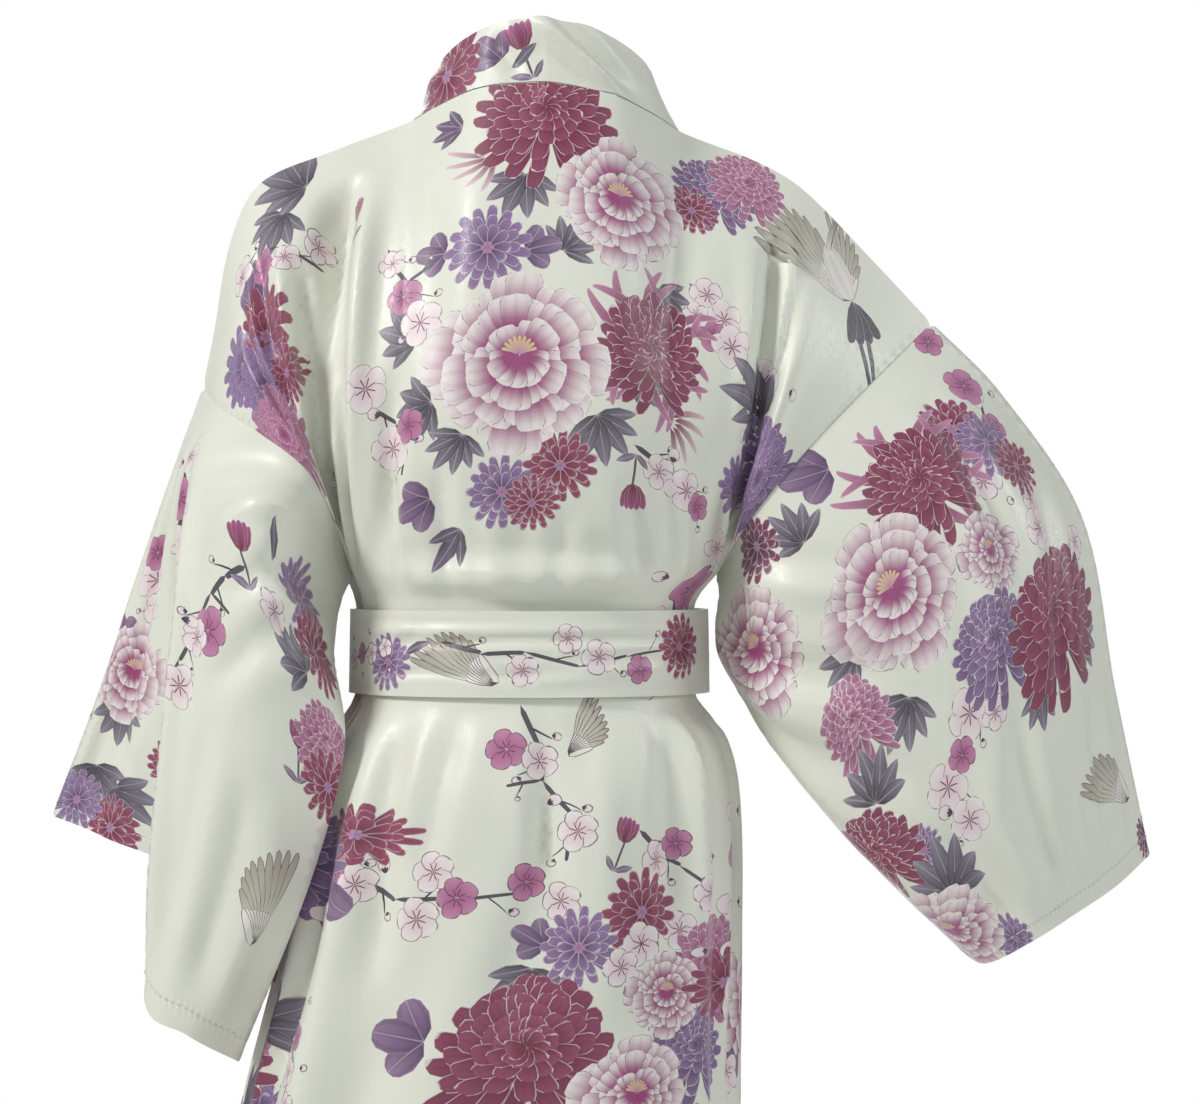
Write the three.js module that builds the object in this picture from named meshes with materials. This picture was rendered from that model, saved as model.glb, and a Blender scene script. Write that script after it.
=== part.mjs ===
// A short happi coat with its sash, worn by nobody: it keeps the hollow form that it has on a wearer
// whose left arm hangs and whose right arm is bent forward. Millimetres, +Z up, the back faces +Y and
// the wearer's left is +X. The origin is the base of the neck, level with the tops of the shoulders.
//
// Every cloth piece is a wall. Its outer face is a function of two parameters, worked out from named
// sizes and from short tables with one row for each section, and its inner face lies one cloth inside.

import * as THREE from "three";

// Cut sizes
const CLOTH = 1.5; // wall of one layer of cloth
const HEM_CLOTH = 2.4; // wall where a hem is turned up
const HEM = 16; // depth of a turned hem
const BAND_WIDTH = 48; // neckband, finished
const BAND_CLOTH = 3; // neckband, two layers
const SASH_WIDTH = 55;
const SASH_CLOTH = 2.5;
const SASH_TAIL = 300;
const SEAM_GAP = 0.35; // between two pieces that are sewn together
const LAYER_RISE = 6; // the left front lies this far over the right front
const BODY_LENGTH = 842; // from the nape to the hem, along the middle of the back

// Colours as printed cloth looks from a distance
const CREAM = 0xd5d9c8;
const CREAM_SHADE = 0xc9cebb;

const v3 = (x, y, z) => new THREE.Vector3(x, y, z);
const mix = (a, b, k) => a + (b - a) * k;
const clamp01 = (x) => Math.min(1, Math.max(0, x));
const smooth = (a, b, x) => {
  const k = clamp01((x - a) / (b - a));
  return k * k * (3 - 2 * k);
};

// A smooth curve through values at knots: cubic pieces whose slopes come from the two neighbours.
function splineWeights(knots, x) {
  const n = knots.length;
  let i = 0;
  while (i < n - 2 && x > knots[i + 1]) i++;
  const h = knots[i + 1] - knots[i];
  const k = (x - knots[i]) / h;
  const k2 = k * k;
  const k3 = k2 * k;
  const weights = new Map();
  const add = (j, w) => weights.set(j, (weights.get(j) ?? 0) + w);
  add(i, 2 * k3 - 3 * k2 + 1);
  add(i + 1, 3 * k2 - 2 * k3);
  const slope = (j, w) => {
    const a = Math.max(0, j - 1);
    const b = Math.min(n - 1, j + 1);
    add(b, w / (knots[b] - knots[a]));
    add(a, -w / (knots[b] - knots[a]));
  };
  slope(i, (k3 - 2 * k2 + k) * h);
  slope(i + 1, (k3 - k2) * h);
  return weights;
}

function splineValue(knots, values, x) {
  let sum = 0;
  for (const [j, w] of splineWeights(knots, x)) sum += w * values[j];
  return sum;
}

function splinePoint(knots, points, x) {
  const sum = v3(0, 0, 0);
  for (const [j, w] of splineWeights(knots, x)) sum.addScaledVector(points(j), w);
  return sum;
}

// The line over the top of the body: round the back of the neck, along the shoulder and down the upper
// arm to the armhole seam. across is the share of the panel's half width, 0 in the middle.
const TOP_LINE = {
  left: [
    { at: "nape", across: 0, x: 0, y: 58, z: 18 },
    { at: "back of neck", across: 0.15, x: 45, y: 46, z: 15 },
    { at: "neck turn", across: 0.23, x: 76, y: 20, z: 5 },
    { at: "side of neck", across: 0.28, x: 91, y: 3, z: -1 },
    { at: "mid shoulder", across: 0.46, x: 142, y: 0, z: -20 },
    { at: "shoulder tip", across: 0.61, x: 191, y: 0, z: -42 },
    { at: "cap of the arm", across: 0.72, x: 210, y: -2, z: -80 },
    { at: "upper arm", across: 0.89, x: 221, y: -6, z: -138 },
    { at: "armhole seam", across: 1, x: 229, y: -10, z: -176 },
  ],
  right: [
    { at: "nape", across: 0, x: 0, y: 58, z: 18 },
    { at: "back of neck", across: 0.15, x: -43, y: 46, z: 11 },
    { at: "neck turn", across: 0.23, x: -72, y: 21, z: 0 },
    { at: "side of neck", across: 0.28, x: -88, y: 4, z: -8 },
    { at: "mid shoulder", across: 0.45, x: -138, y: 0, z: -27 },
    { at: "shoulder tip", across: 0.58, x: -168, y: 0, z: -45 },
    { at: "upper arm", across: 0.78, x: -210, y: -3, z: -87 },
    { at: "armhole seam", across: 1, x: -254, y: -8, z: -133 },
  ],
};
const NECK_SHARE = 0.28; // the side of the neck, as a share of the panel's half width
const FRONT_NECK = { y: -60, z: -30 }; // where the top line would pass in front of the neck

// The armhole seams, from the top line down to the armpit. share is the part of the way down.
const ARMHOLES = {
  left: {
    back: [
      { share: 0.25, x: 214, y: 32, z: -191 },
      { share: 0.5, x: 186, y: 62, z: -208 },
      { share: 0.75, x: 148, y: 70, z: -240 },
    ],
    front: [
      { share: 0.25, x: 216, y: -44, z: -196 },
      { share: 0.5, x: 188, y: -72, z: -225 },
      { share: 0.75, x: 150, y: -66, z: -264 },
    ],
  },
  right: {
    back: [
      { share: 0.25, x: -212, y: 34, z: -174 },
      { share: 0.5, x: -171, y: 58, z: -216 },
      { share: 0.75, x: -133, y: 60, z: -262 },
    ],
    front: [
      { share: 0.25, x: -214, y: -42, z: -176 },
      { share: 0.5, x: -174, y: -70, z: -220 },
      { share: 0.75, x: -136, y: -62, z: -264 },
    ],
  },
};

// Level sections of the body from the armpits down: how far each reaches to the wearer's left and
// right, to the back and to the front. down is the distance from the nape along the back.
const SECTIONS = [
  { at: "armpit", down: 314, z: -296, left: 130, right: -114, back: 92, front: -86 },
  { at: "sash top", down: 337, z: -319, left: 122, right: -97, back: 83, front: -74 },
  { at: "sash foot", down: 399, z: -381, left: 123, right: -98, back: 84, front: -76 },
  { at: "below sash", down: 425, z: -407, left: 138, right: -118, back: 92, front: -86 },
  { at: "hip", down: 469, z: -450, left: 154, right: -127, back: 101, front: -96 },
  { at: "seat", down: 569, z: -550, left: 172, right: -128, back: 106, front: -104 },
  { at: "thigh", down: 669, z: -650, left: 197, right: -127, back: 110, front: -110 },
  { at: "low thigh", down: 759, z: -740, left: 215, right: -129, back: 113, front: -114 },
  { at: "hem", down: BODY_LENGTH, z: -823, left: 228, right: -134, back: 114, front: -118 },
];
const ARMPIT = SECTIONS[0];

// How far round the body a share of the panel's half width reaches, in degrees from the middle.
const WRAP = { across: [0, 0.2, 0.4, 0.5, 0.7, 1], degrees: [0, 32, 62, 73, 83, 90] };

// How far the cloth above the armpits stands out to the back and front of the straight line from the
// top line to the armpit section, over the shoulder blades, the chest and the arms.
const FULLNESS = {
  across: [0, 0.28, 0.46, 0.6, 0.8, 1],
  back: [27, 46, 54, 56, 62, 60],
  front: [30, 62, 66, 62, 58, 55],
};

const sideOf = (s) => (s >= 0 ? "left" : "right");

function topPoint(s, face) {
  const rows = TOP_LINE[sideOf(s)];
  const p = splinePoint(
    rows.map((r) => r.across),
    (j) => v3(rows[j].x, rows[j].y, rows[j].z),
    Math.abs(s),
  );
  if (face === "front") {
    const k = smooth(NECK_SHARE, 0, Math.abs(s));
    p.y = mix(p.y, FRONT_NECK.y, k);
    p.z = mix(p.z, FRONT_NECK.z, k);
  }
  return p;
}

function sectionPoint(row, s, face) {
  const turn = (splineValue(WRAP.across, WRAP.degrees, Math.abs(s)) * Math.PI) / 180;
  const middle = 0.5 * (row.left + row.right);
  const half = 0.5 * (row.left - row.right);
  const depth = face === "back" ? row.back : row.front;
  const x = middle + Math.sign(s) * half * Math.sin(turn);
  return v3(x, depth * Math.cos(turn) ** 0.9, row.z);
}

// The rows of the body's surface, from the top line down, each a function of the share across.
function straightDown(share, s, face) {
  const out = splineValue(FULLNESS.across, FULLNESS[face], Math.abs(s));
  const p = topPoint(s, face).lerp(sectionPoint(ARMPIT, s, face), share);
  p.y += (face === "back" ? 1 : -1) * out * Math.sin(Math.PI * share) ** 0.8;
  return p;
}

// Towards the sides the cloth is drawn to the armhole seam.
function upperPoint(row, s, face) {
  const side = sideOf(s);
  const seam = ARMHOLES[side][face][row];
  const end = straightDown(seam.share, Math.sign(s) || 1, face);
  const pull = v3(seam.x, seam.y, seam.z).sub(end);
  return straightDown(seam.share, s, face).addScaledVector(pull, smooth(0.5, 1, Math.abs(s)));
}

const ROWS = [
  { down: 0, point: (s, face) => topPoint(s, face) },
  ...ARMHOLES.left.back.map(({ share }, row) => ({
    down: share * ARMPIT.down,
    point: (s, face) => upperPoint(row, s, face),
  })),
  ...SECTIONS.map((row) => ({
    down: row.down,
    point: (s, face) => sectionPoint(row, s, face),
  })),
];
const ROW_KNOTS = ROWS.map((r) => r.down);

// A point of the body's surface: s runs from -1 at the right seam to 1 at the left, and down in mm.
// Below the armpits the back keeps behind the side seam and the fronts keep before it.
function bodyPoint(s, down, face) {
  const p = splinePoint(ROW_KNOTS, (j) => ROWS[j].point(s, face), down);
  if (down >= ARMPIT.down) p.y = face === "back" ? Math.max(p.y, SEAM_GAP) : Math.min(p.y, -SEAM_GAP);
  return p;
}

// The largest folds. Each is a trough along a line on the back or front: across and down at its two
// ends, how wide it is as a share of the half width, and how deep in mm.
const FOLDS = [
  { face: "back", from: [0.43, 20], to: [0.68, 330], wide: 0.045, deep: 24 },
  { face: "back", from: [-0.54, 45], to: [-0.68, 320], wide: 0.04, deep: 16 },
  { face: "front", from: [0.5, 30], to: [0.68, 320], wide: 0.05, deep: 18 },
  { face: "front", from: [-0.55, 40], to: [-0.66, 285], wide: 0.05, deep: 14 },
  { face: "back", from: [0.66, 395], to: [0.6, 760], wide: 0.07, deep: 10 },
  { face: "back", from: [-0.1, 398], to: [0.02, 620], wide: 0.05, deep: 6 },
  { face: "back", from: [-0.62, 398], to: [-0.5, 700], wide: 0.07, deep: 9 },
  { face: "front", from: [0.55, 398], to: [0.5, 780], wide: 0.08, deep: 12 },
  { face: "front", from: [0.1, 398], to: [0.05, 700], wide: 0.08, deep: 7 },
];

function foldDepth(s, down, face) {
  let deep = 0;
  for (const f of FOLDS) {
    if (f.face !== face) continue;
    const along = (down - f.from[1]) / (f.to[1] - f.from[1]);
    if (along <= 0 || along >= 1) continue;
    const away = (s - mix(f.from[0], f.to[0], along)) / f.wide;
    const ends = smooth(0, 0.12, along) * smooth(1, 0.75, along);
    deep += f.deep * ends * Math.exp(-away * away);
  }
  return deep;
}

// The normal of a surface that is a function of two parameters, by small steps along both.
function normalOf(point, u, v, du, dv) {
  const a = point(u + du, v).sub(point(u - du, v));
  const b = point(u, v + dv).sub(point(u, v - dv));
  return a.cross(b).normalize();
}

// The body's outward normal. On the top line it is square to that line and to the front-back
// direction, so that the back and the fronts share it at the shoulder.
function bodyNormal(s, down, face) {
  const inside = Math.min(0.97, Math.max(-0.97, s));
  const at = Math.min(BODY_LENGTH - 2, Math.max(2, down));
  const n = normalOf((a, b) => bodyPoint(a, b, face), inside, at, 0.01, 2);
  if (face === "front") n.negate();
  const along = topPoint(Math.min(1, inside + 0.001), "back").sub(topPoint(inside - 0.001, "back"));
  const up = v3(-along.z, 0, along.x).normalize();
  if (Math.abs(s) > NECK_SHARE - 0.02) n.lerp(up, smooth(40, 0, down)).normalize();
  return n;
}

function bodyCloth(s, down, face, rise = 0) {
  const lift = rise - foldDepth(s, down, face);
  return bodyPoint(s, down, face).addScaledVector(bodyNormal(s, down, face), lift);
}

// Where the edge of each front runs, as a share across, and how far the left front is lifted over the
// right one there.
const FRONT_EDGE = {
  down: [0, 75, 150, 225, 300, 342, 395, BODY_LENGTH],
  across: [NECK_SHARE, 0.24, 0.15, 0.02, -0.15, -0.24, -0.28, -0.36],
};
const frontEdge = (down) => splineValue(FRONT_EDGE.down, FRONT_EDGE.across, down);
const leftRise = (s, down) => LAYER_RISE * smooth(0.95, 0.75, s) * smooth(30, 160, down);

// Closed wall between an outer face and an inner one, over a grid of two parameters that takes the
// values listed in us and vs. With around set the grid closes on itself along u, as a sleeve does.
// The outward normal is to the right-handed side of u and v; flip says that it is to the other side.
function wall(name, us, vs, outer, inner, { around = false, flip = false, colour = CREAM } = {}) {
  const nu = us.length - 1;
  const nv = vs.length - 1;
  const columns = around ? nu : nu + 1;
  const positions = [];
  for (const face of [outer, inner])
    for (const v of vs)
      for (let i = 0; i < columns; i++) positions.push(...face(us[i], v).toArray());
  const layer = columns * (nv + 1);
  const index = [];
  const quad = (a, b, c, d) => (flip ? index.push(a, c, b, a, d, c) : index.push(a, b, c, a, c, d));
  const id = (i, j, side) => side * layer + j * columns + (around ? i % nu : i);
  for (let j = 0; j < nv; j++)
    for (let i = 0; i < nu; i++) {
      quad(id(i, j, 0), id(i + 1, j, 0), id(i + 1, j + 1, 0), id(i, j + 1, 0));
      quad(id(i, j, 1), id(i, j + 1, 1), id(i + 1, j + 1, 1), id(i + 1, j, 1));
    }
  for (let i = 0; i < nu; i++) {
    quad(id(i, 0, 1), id(i + 1, 0, 1), id(i + 1, 0, 0), id(i, 0, 0));
    quad(id(i, nv, 0), id(i + 1, nv, 0), id(i + 1, nv, 1), id(i, nv, 1));
  }
  if (!around)
    for (let j = 0; j < nv; j++) {
      quad(id(0, j, 0), id(0, j + 1, 0), id(0, j + 1, 1), id(0, j, 1));
      quad(id(nu, j, 1), id(nu, j + 1, 1), id(nu, j + 1, 0), id(nu, j, 0));
    }
  const geometry = new THREE.BufferGeometry();
  geometry.setAttribute("position", new THREE.Float32BufferAttribute(positions, 3));
  geometry.setIndex(index);
  geometry.computeVertexNormals();
  const material = new THREE.MeshStandardMaterial({ color: colour, roughness: 0.55, metalness: 0 });
  const mesh = new THREE.Mesh(geometry, material);
  mesh.name = name;
  return mesh;
}

// Even steps from one number to another, both included.
const steps = (count, from = 0, to = 1) =>
  Array.from({ length: count + 1 }, (_, i) => mix(from, to, i / count));

const hemWall = (down) => (down >= BODY_LENGTH - HEM ? HEM_CLOTH : CLOTH);

// Rows of a body panel: each stretch between two sections in two, with the hem's fold as a row of its
// own just below where the single cloth ends.
const HEM_TOP = BODY_LENGTH - HEM;
const PANEL_ROWS = [
  ...ROW_KNOTS.slice(1).flatMap((down, i) => steps(2, ROW_KNOTS[i] || 2 * SEAM_GAP, down).slice(0, 2)),
  HEM_TOP - 1,
  HEM_TOP,
  BODY_LENGTH,
];

// A body panel between two shares across, from the top line to the hem. edges(down) gives the two.
function bodyPanel(name, columns, face, edges, rise) {
  const gapShare = 0.004;
  const lie = (u, down, depth) => {
    const [low, high] = edges(down);
    const s = mix(low + gapShare, high - gapShare, u);
    return bodyCloth(s, down, face, rise(s, down) - depth);
  };
  const outer = (u, down) => lie(u, down, 0);
  const inner = (u, down) => lie(u, down, hemWall(down));
  return wall(name, steps(columns), PANEL_ROWS, outer, inner, { flip: face === "front" });
}

const none = () => 0;

function backPanel() {
  return bodyPanel("back", 26, "back", () => [-1, 1], none);
}

// The fronts are eased a little away from the armpit, where three pieces meet.
const armpitEase = (down) => 0.04 * smooth(250, 290, down) * smooth(350, 325, down);

function leftFront() {
  const edges = (down) => [frontEdge(down), 1 - armpitEase(down)];
  return bodyPanel("front_left", 12, "front", edges, leftRise);
}

function rightFront() {
  const edges = (down) => [armpitEase(down) - 1, -frontEdge(down)];
  return bodyPanel("front_right", 12, "front", edges, none);
}

// Sleeves. Each section is a loop of named points, in mm: the pressed crease along the top of the
// sleeve, the back layer down to the seam under it, and the front layer up to the crease again. round
// is the share of the way round the tube, and along the share of the way from armhole to cuff.
const SLEEVES = {
  left: {
    round: [0, 0.1, 0.2, 0.28, 0.39, 0.5, 0.67, 0.83, 0.92, 1],
    at: ["crease", "outer", "tuck", "ridge", "back", "underarm", "inner", "front", "fore"],
    sections: [
      {
        along: 0.16,
        x: [249, 241, 232, 224, 178, 138, 156, 184, 232],
        y: [-25, 0, 24, 42, 92, 30, -26, -94, -84],
        z: [-225, -225, -225, -237, -263, -345, -333, -272, -238],
      },
      {
        along: 0.42,
        x: [279, 259, 241, 235, 185, 128, 162, 190, 250],
        y: [-48, -24, 4, 48, 86, 66, -8, -110, -102],
        z: [-303, -308, -312, -332, -350, -408, -392, -332, -308],
      },
      {
        along: 0.72,
        x: [311, 281, 243, 247, 200, 151, 186, 212, 276],
        y: [-64, -44, 2, 48, 74, 58, -12, -114, -108],
        z: [-391, -405, -418, -447, -475, -498, -486, -426, -398],
      },
      {
        along: 1,
        x: [340, 300, 234, 260, 231, 200, 208, 236, 294],
        y: [-78, -52, -6, 42, 56, 32, -22, -112, -114],
        z: [-465, -478, -508, -574, -596, -617, -602, -518, -478],
      },
    ],
  },
  right: {
    round: [0, 0.12, 0.25, 0.38, 0.46, 0.5, 0.67, 0.83, 0.92, 1],
    at: ["crease", "fore", "back", "low", "edge", "underarm", "inner", "front", "outer"],
    sections: [
      {
        along: 0.18,
        x: [-300, -268, -222, -165, -128, -112, -128, -186, -256],
        y: [-8, 44, 70, 74, 40, 4, -60, -98, -68],
        z: [-180, -208, -250, -312, -352, -352, -325, -262, -204],
      },
      {
        along: 0.42,
        x: [-354, -322, -272, -214, -172, -160, -168, -228, -306],
        y: [-10, 44, 72, 76, 46, 8, -68, -112, -78],
        z: [-262, -290, -328, -382, -434, -430, -398, -330, -280],
      },
      {
        along: 0.7,
        x: [-376, -345, -304, -260, -228, -214, -218, -270, -336],
        y: [-10, 42, 66, 70, 46, 10, -68, -116, -80],
        z: [-376, -404, -436, -470, -502, -492, -458, -400, -374],
      },
      {
        along: 1,
        x: [-399, -372, -342, -311, -284, -272, -262, -290, -354],
        y: [-12, 22, 44, 52, 38, 16, -62, -118, -92],
        z: [-486, -503, -519, -537, -552, -548, -518, -470, -446],
      },
    ],
  },
};
const SEAM_ROUND = 0.5; // where the underarm seam is, on the way round

// The armhole seam, from the top line to the armpit: the body panels' own side edges.
function armholePoint(side, round) {
  const back = round <= SEAM_ROUND;
  const share = back ? round / SEAM_ROUND : (1 - round) / (1 - SEAM_ROUND);
  return bodyPoint(side === "left" ? 1 : -1, share * ARMPIT.down, back ? "back" : "front");
}

function armholeNormal(side, round) {
  const back = round <= SEAM_ROUND;
  const share = back ? round / SEAM_ROUND : (1 - round) / (1 - SEAM_ROUND);
  return bodyNormal(side === "left" ? 1 : -1, share * ARMPIT.down, back ? "back" : "front");
}

// One layer of one section, as a smooth curve through its points.
function loopPoint(side, section, round) {
  const knots = SLEEVES[side].round;
  const seam = knots.indexOf(SEAM_ROUND);
  const first = round <= SEAM_ROUND ? 0 : seam;
  const part = round <= SEAM_ROUND ? knots.slice(0, seam + 1) : knots.slice(seam);
  const count = section.x.length;
  const point = (j) => {
    const k = (first + j) % count;
    return v3(section.x[k], section.y[k], section.z[k]);
  };
  return splinePoint(part, point, round);
}

// A point of a sleeve's outer face.
function sleevePoint(side, round, along) {
  const { sections } = SLEEVES[side];
  const knots = [0, ...sections.map((r) => r.along)];
  const point = (j) =>
    j === 0 ? armholePoint(side, round) : loopPoint(side, sections[j - 1], round);
  return splinePoint(knots, point, along);
}

// Its outward normal. At the crease and at the underarm seam the two layers share one normal.
function sleeveNormal(side, round, along) {
  const step = 0.012;
  const wrap = (r) => ((r % 1) + 1) % 1;
  const behind = sleevePoint(side, wrap(round - step), along);
  const low = Math.max(0, along - step);
  const high = Math.min(1, along + step);
  const length = sleevePoint(side, round, high).sub(sleevePoint(side, round, low));
  const n = sleevePoint(side, wrap(round + step), along).sub(behind).cross(length).normalize();
  if (side === "left") n.negate();
  return n.lerp(armholeNormal(side, round), smooth(0.1, 0, along)).normalize();
}

const SLEEVE_LENGTH = 400;

function sleeve(side) {
  const hem = 1 - HEM / SLEEVE_LENGTH;
  const alongs = [...steps(9, (7 * SEAM_GAP) / SLEEVE_LENGTH, hem - 0.002), hem, 1];
  const rounds = SLEEVES[side].round.flatMap((r, i, all) =>
    i === 0 ? [r] : steps(3, all[i - 1], r).slice(1),
  );
  const outer = (round, along) => sleevePoint(side, round, along);
  const inner = (round, along) => {
    const thick = along >= hem ? HEM_CLOTH : CLOTH;
    return outer(round, along).addScaledVector(sleeveNormal(side, round, along), -thick);
  };
  const flip = side === "left";
  return wall("sleeve_" + side, rounds, alongs, outer, inner, { around: true, flip });
}

// The neckband: up the left front, round the neck and down the right front. Round the neck it stands:
// x, y, z lead from its seam to its upper edge there, for the wearer's left side.
const STAND = [
  { at: "nape", across: 0, x: 0, y: -5, z: 43 },
  { at: "back of neck", across: 0.15, x: -5, y: -7, z: 40 },
  { at: "neck turn", across: 0.23, x: -7, y: -14, z: 36 },
  { at: "side of neck", across: NECK_SHARE, x: -12, y: -32, z: 24 },
];
const ROLL = 150; // it turns from standing to lying over this much of the front's length

function standVector(s) {
  const way = splinePoint(
    STAND.map((r) => r.across),
    (j) => v3(STAND[j].x, STAND[j].y, STAND[j].z),
    Math.abs(s),
  );
  if (s < 0) way.x = -way.x;
  return way;
}

// On a front the band lies in the front's own surface: out is the distance from its seam.
function lyingPoint(side, down, out) {
  const sign = side === "left" ? 1 : -1;
  const edge = sign * frontEdge(down);
  const step = 0.01;
  const reach = bodyPoint(edge - sign * step, down, "front").distanceTo(
    bodyPoint(edge, down, "front"),
  );
  const s = edge - (sign * step * out) / reach;
  return bodyCloth(s, down, "front", side === "left" ? leftRise(s, down) : 0);
}

// way runs from the left front's hem at -1 over the nape at 0 to the right front's hem at 1.
const NECK_WAY = 0.25;

function bandPoint(way, out) {
  const side = way < 0 ? "left" : "right";
  const sign = way < 0 ? 1 : -1;
  if (Math.abs(way) <= NECK_WAY) {
    const s = (-way * NECK_SHARE) / NECK_WAY;
    return topPoint(s, "back").addScaledVector(standVector(s), out / BAND_WIDTH);
  }
  const down = ((Math.abs(way) - NECK_WAY) / (1 - NECK_WAY)) * BODY_LENGTH;
  const seam = lyingPoint(side, down, 0);
  const stand = seam.addScaledVector(standVector(sign * NECK_SHARE), out / BAND_WIDTH);
  return stand.lerp(lyingPoint(side, down, out), smooth(0, ROLL, down));
}

function bandNormal(way, out) {
  const at = Math.min(0.995, Math.max(-0.995, way));
  return normalOf(bandPoint, at, Math.max(out, 2), 0.005, 2);
}

function neckband() {
  const fronts = PANEL_ROWS.map((down) => NECK_WAY + ((1 - NECK_WAY) * down) / BODY_LENGTH);
  const ways = [...fronts.toReversed().map((way) => -way), ...steps(16, -NECK_WAY, NECK_WAY)];
  ways.push(...fronts);
  const outs = steps(2, 3 * SEAM_GAP, BAND_WIDTH);
  const outer = (way, out) => bandPoint(way, out);
  const inner = (way, out) =>
    bandPoint(way, out).addScaledVector(bandNormal(way, out), -BAND_CLOTH);
  return wall("neckband", ways, outs, outer, inner, { colour: CREAM_SHADE });
}

// The sash: once round the waist over the fronts, knotted in front of the wearer's left, two tails.
const SASH_MIDDLE = 368;
const KNOT_ACROSS = 0.12;
const SASH_CLEAR = { back: 0.9, front: LAYER_RISE + 0.9 };

function sashPoint(turn, v, rise) {
  const back = Math.cos(turn) >= 0;
  const share = Math.asin(Math.min(1, Math.abs(Math.sin(turn)))) * (180 / Math.PI);
  const row = (down) => {
    const k = (down - SECTIONS[1].down) / (SECTIONS[2].down - SECTIONS[1].down);
    const part = (key) => mix(SECTIONS[1][key], SECTIONS[2][key], k);
    return { left: part("left"), right: part("right"), back: part("back"), front: part("front") };
  };
  const top = TOP_LINE.left[0];
  const down = SASH_MIDDLE + (v - 0.5) * SASH_WIDTH;
  const r = row(down);
  const middle = 0.5 * (r.left + r.right);
  const half = 0.5 * (r.left - r.right);
  const depth = back ? r.back : -r.front;
  const clear = mix(SASH_CLEAR.back, SASH_CLEAR.front, smooth(0.3, -0.1, Math.cos(turn)));
  const x = Math.sin(turn);
  const y = Math.sign(Math.cos(turn)) * Math.cos((share * Math.PI) / 180) ** 0.9;
  const out = v3(x / half, y / depth, 0).normalize();
  return v3(middle + half * x, depth * y, top.z - down).addScaledVector(out, clear + rise);
}

function sashWrap() {
  const outer = (u, v) => sashPoint(2 * Math.PI * u, v, SASH_CLOTH);
  const inner = (u, v) => sashPoint(2 * Math.PI * u, v, 0);
  const options = { around: true, colour: CREAM_SHADE };
  return wall("sash", steps(40), steps(1), outer, inner, options);
}

// The knot is a rounded pad on the sash, and from under it hang two ends, each a curved strip that
// lies off the skirt.
const KNOT = { turn: Math.PI, wide: 56, high: 50, thick: 26 };
const KNOT_SEGMENTS = 16;
const TAILS = [
  { name: "sash_end_left", side: 1, lean: 30, off: [4, 4, 6, 6, 7, 9] },
  { name: "sash_end_right", side: -1, lean: -22, off: [4, 4, 12, 12, 12, 14] },
];
const TAIL_KNOTS = [0, 0.09, 0.2, 0.4, 0.7, 1];
const TAIL_TOP = 368; // how far down the ends come out from between the knot and the sash

const knotSeat = () => sashPoint(KNOT.turn, 0.5, SASH_CLOTH);

function knot() {
  const shape = new THREE.SphereGeometry(0.5, KNOT_SEGMENTS, KNOT_SEGMENTS / 2);
  shape.scale(KNOT.wide, KNOT.thick, KNOT.high);
  const material = new THREE.MeshStandardMaterial({ color: CREAM_SHADE, roughness: 0.55 });
  const mesh = new THREE.Mesh(shape, material);
  const at = knotSeat();
  mesh.name = "sash_knot";
  mesh.position.set(at.x, at.y - KNOT.thick / 2 - SASH_CLOTH - 5.5 * SEAM_GAP, at.z);
  return mesh;
}

function sashEnd({ name, side, lean, off }) {
  const seat = knotSeat();
  const fronts = SECTIONS.map((r) => r.front);
  const downs = SECTIONS.map((r) => r.down);
  const point = (across, down, depth) => {
    const k = (down - TAIL_TOP) / SASH_TAIL;
    const wide = SASH_WIDTH * mix(0.48, 1, smooth(0.09, 0.4, k));
    const x = seat.x + side * (0.25 * SASH_WIDTH + 1) + lean * k + (across - 0.5) * wide;
    const over = splineValue(downs, fronts, down) - LAYER_RISE - splineValue(TAIL_KNOTS, off, k);
    const y = Math.min(over, seat.y - 4 * SEAM_GAP);
    return v3(x, y - depth, TOP_LINE.left[0].z - down);
  };
  const outer = (u, v) => point(u, v, SASH_CLOTH);
  const inner = (u, v) => point(u, v, 0);
  const rows = steps(12, TAIL_TOP, TAIL_TOP + SASH_TAIL);
  return wall(name, steps(2), rows, outer, inner, { flip: true, colour: CREAM_SHADE });
}

const coat = new THREE.Group();
coat.add(backPanel(), leftFront(), rightFront(), sleeve("left"), sleeve("right"));
coat.add(neckband(), sashWrap(), knot(), ...TAILS.map(sashEnd));
export default coat;
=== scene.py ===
# %% [markdown]
# # Happi coat
#
# A happi is a short, straight Japanese coat with wide sleeves. This one is a thin cream satin, printed
# all over with chrysanthemums, peonies, plum blossom and cranes. It is worn open over the hips and tied
# with its own narrow sash. The lesson builds it piece by piece: the cloth's form, the print, the
# panels, the satin, and the stitching.
#
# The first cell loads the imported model. It gives the frame that every piece shares: metres, Z up, the
# origin at the nape, the back of the coat towards +Y and the wearer's left towards +X.

# %% The frame
import math
from functools import partial

import bpy
import numpy as np
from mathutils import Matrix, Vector
from mathutils.geometry import delaunay_2d_cdt


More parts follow.
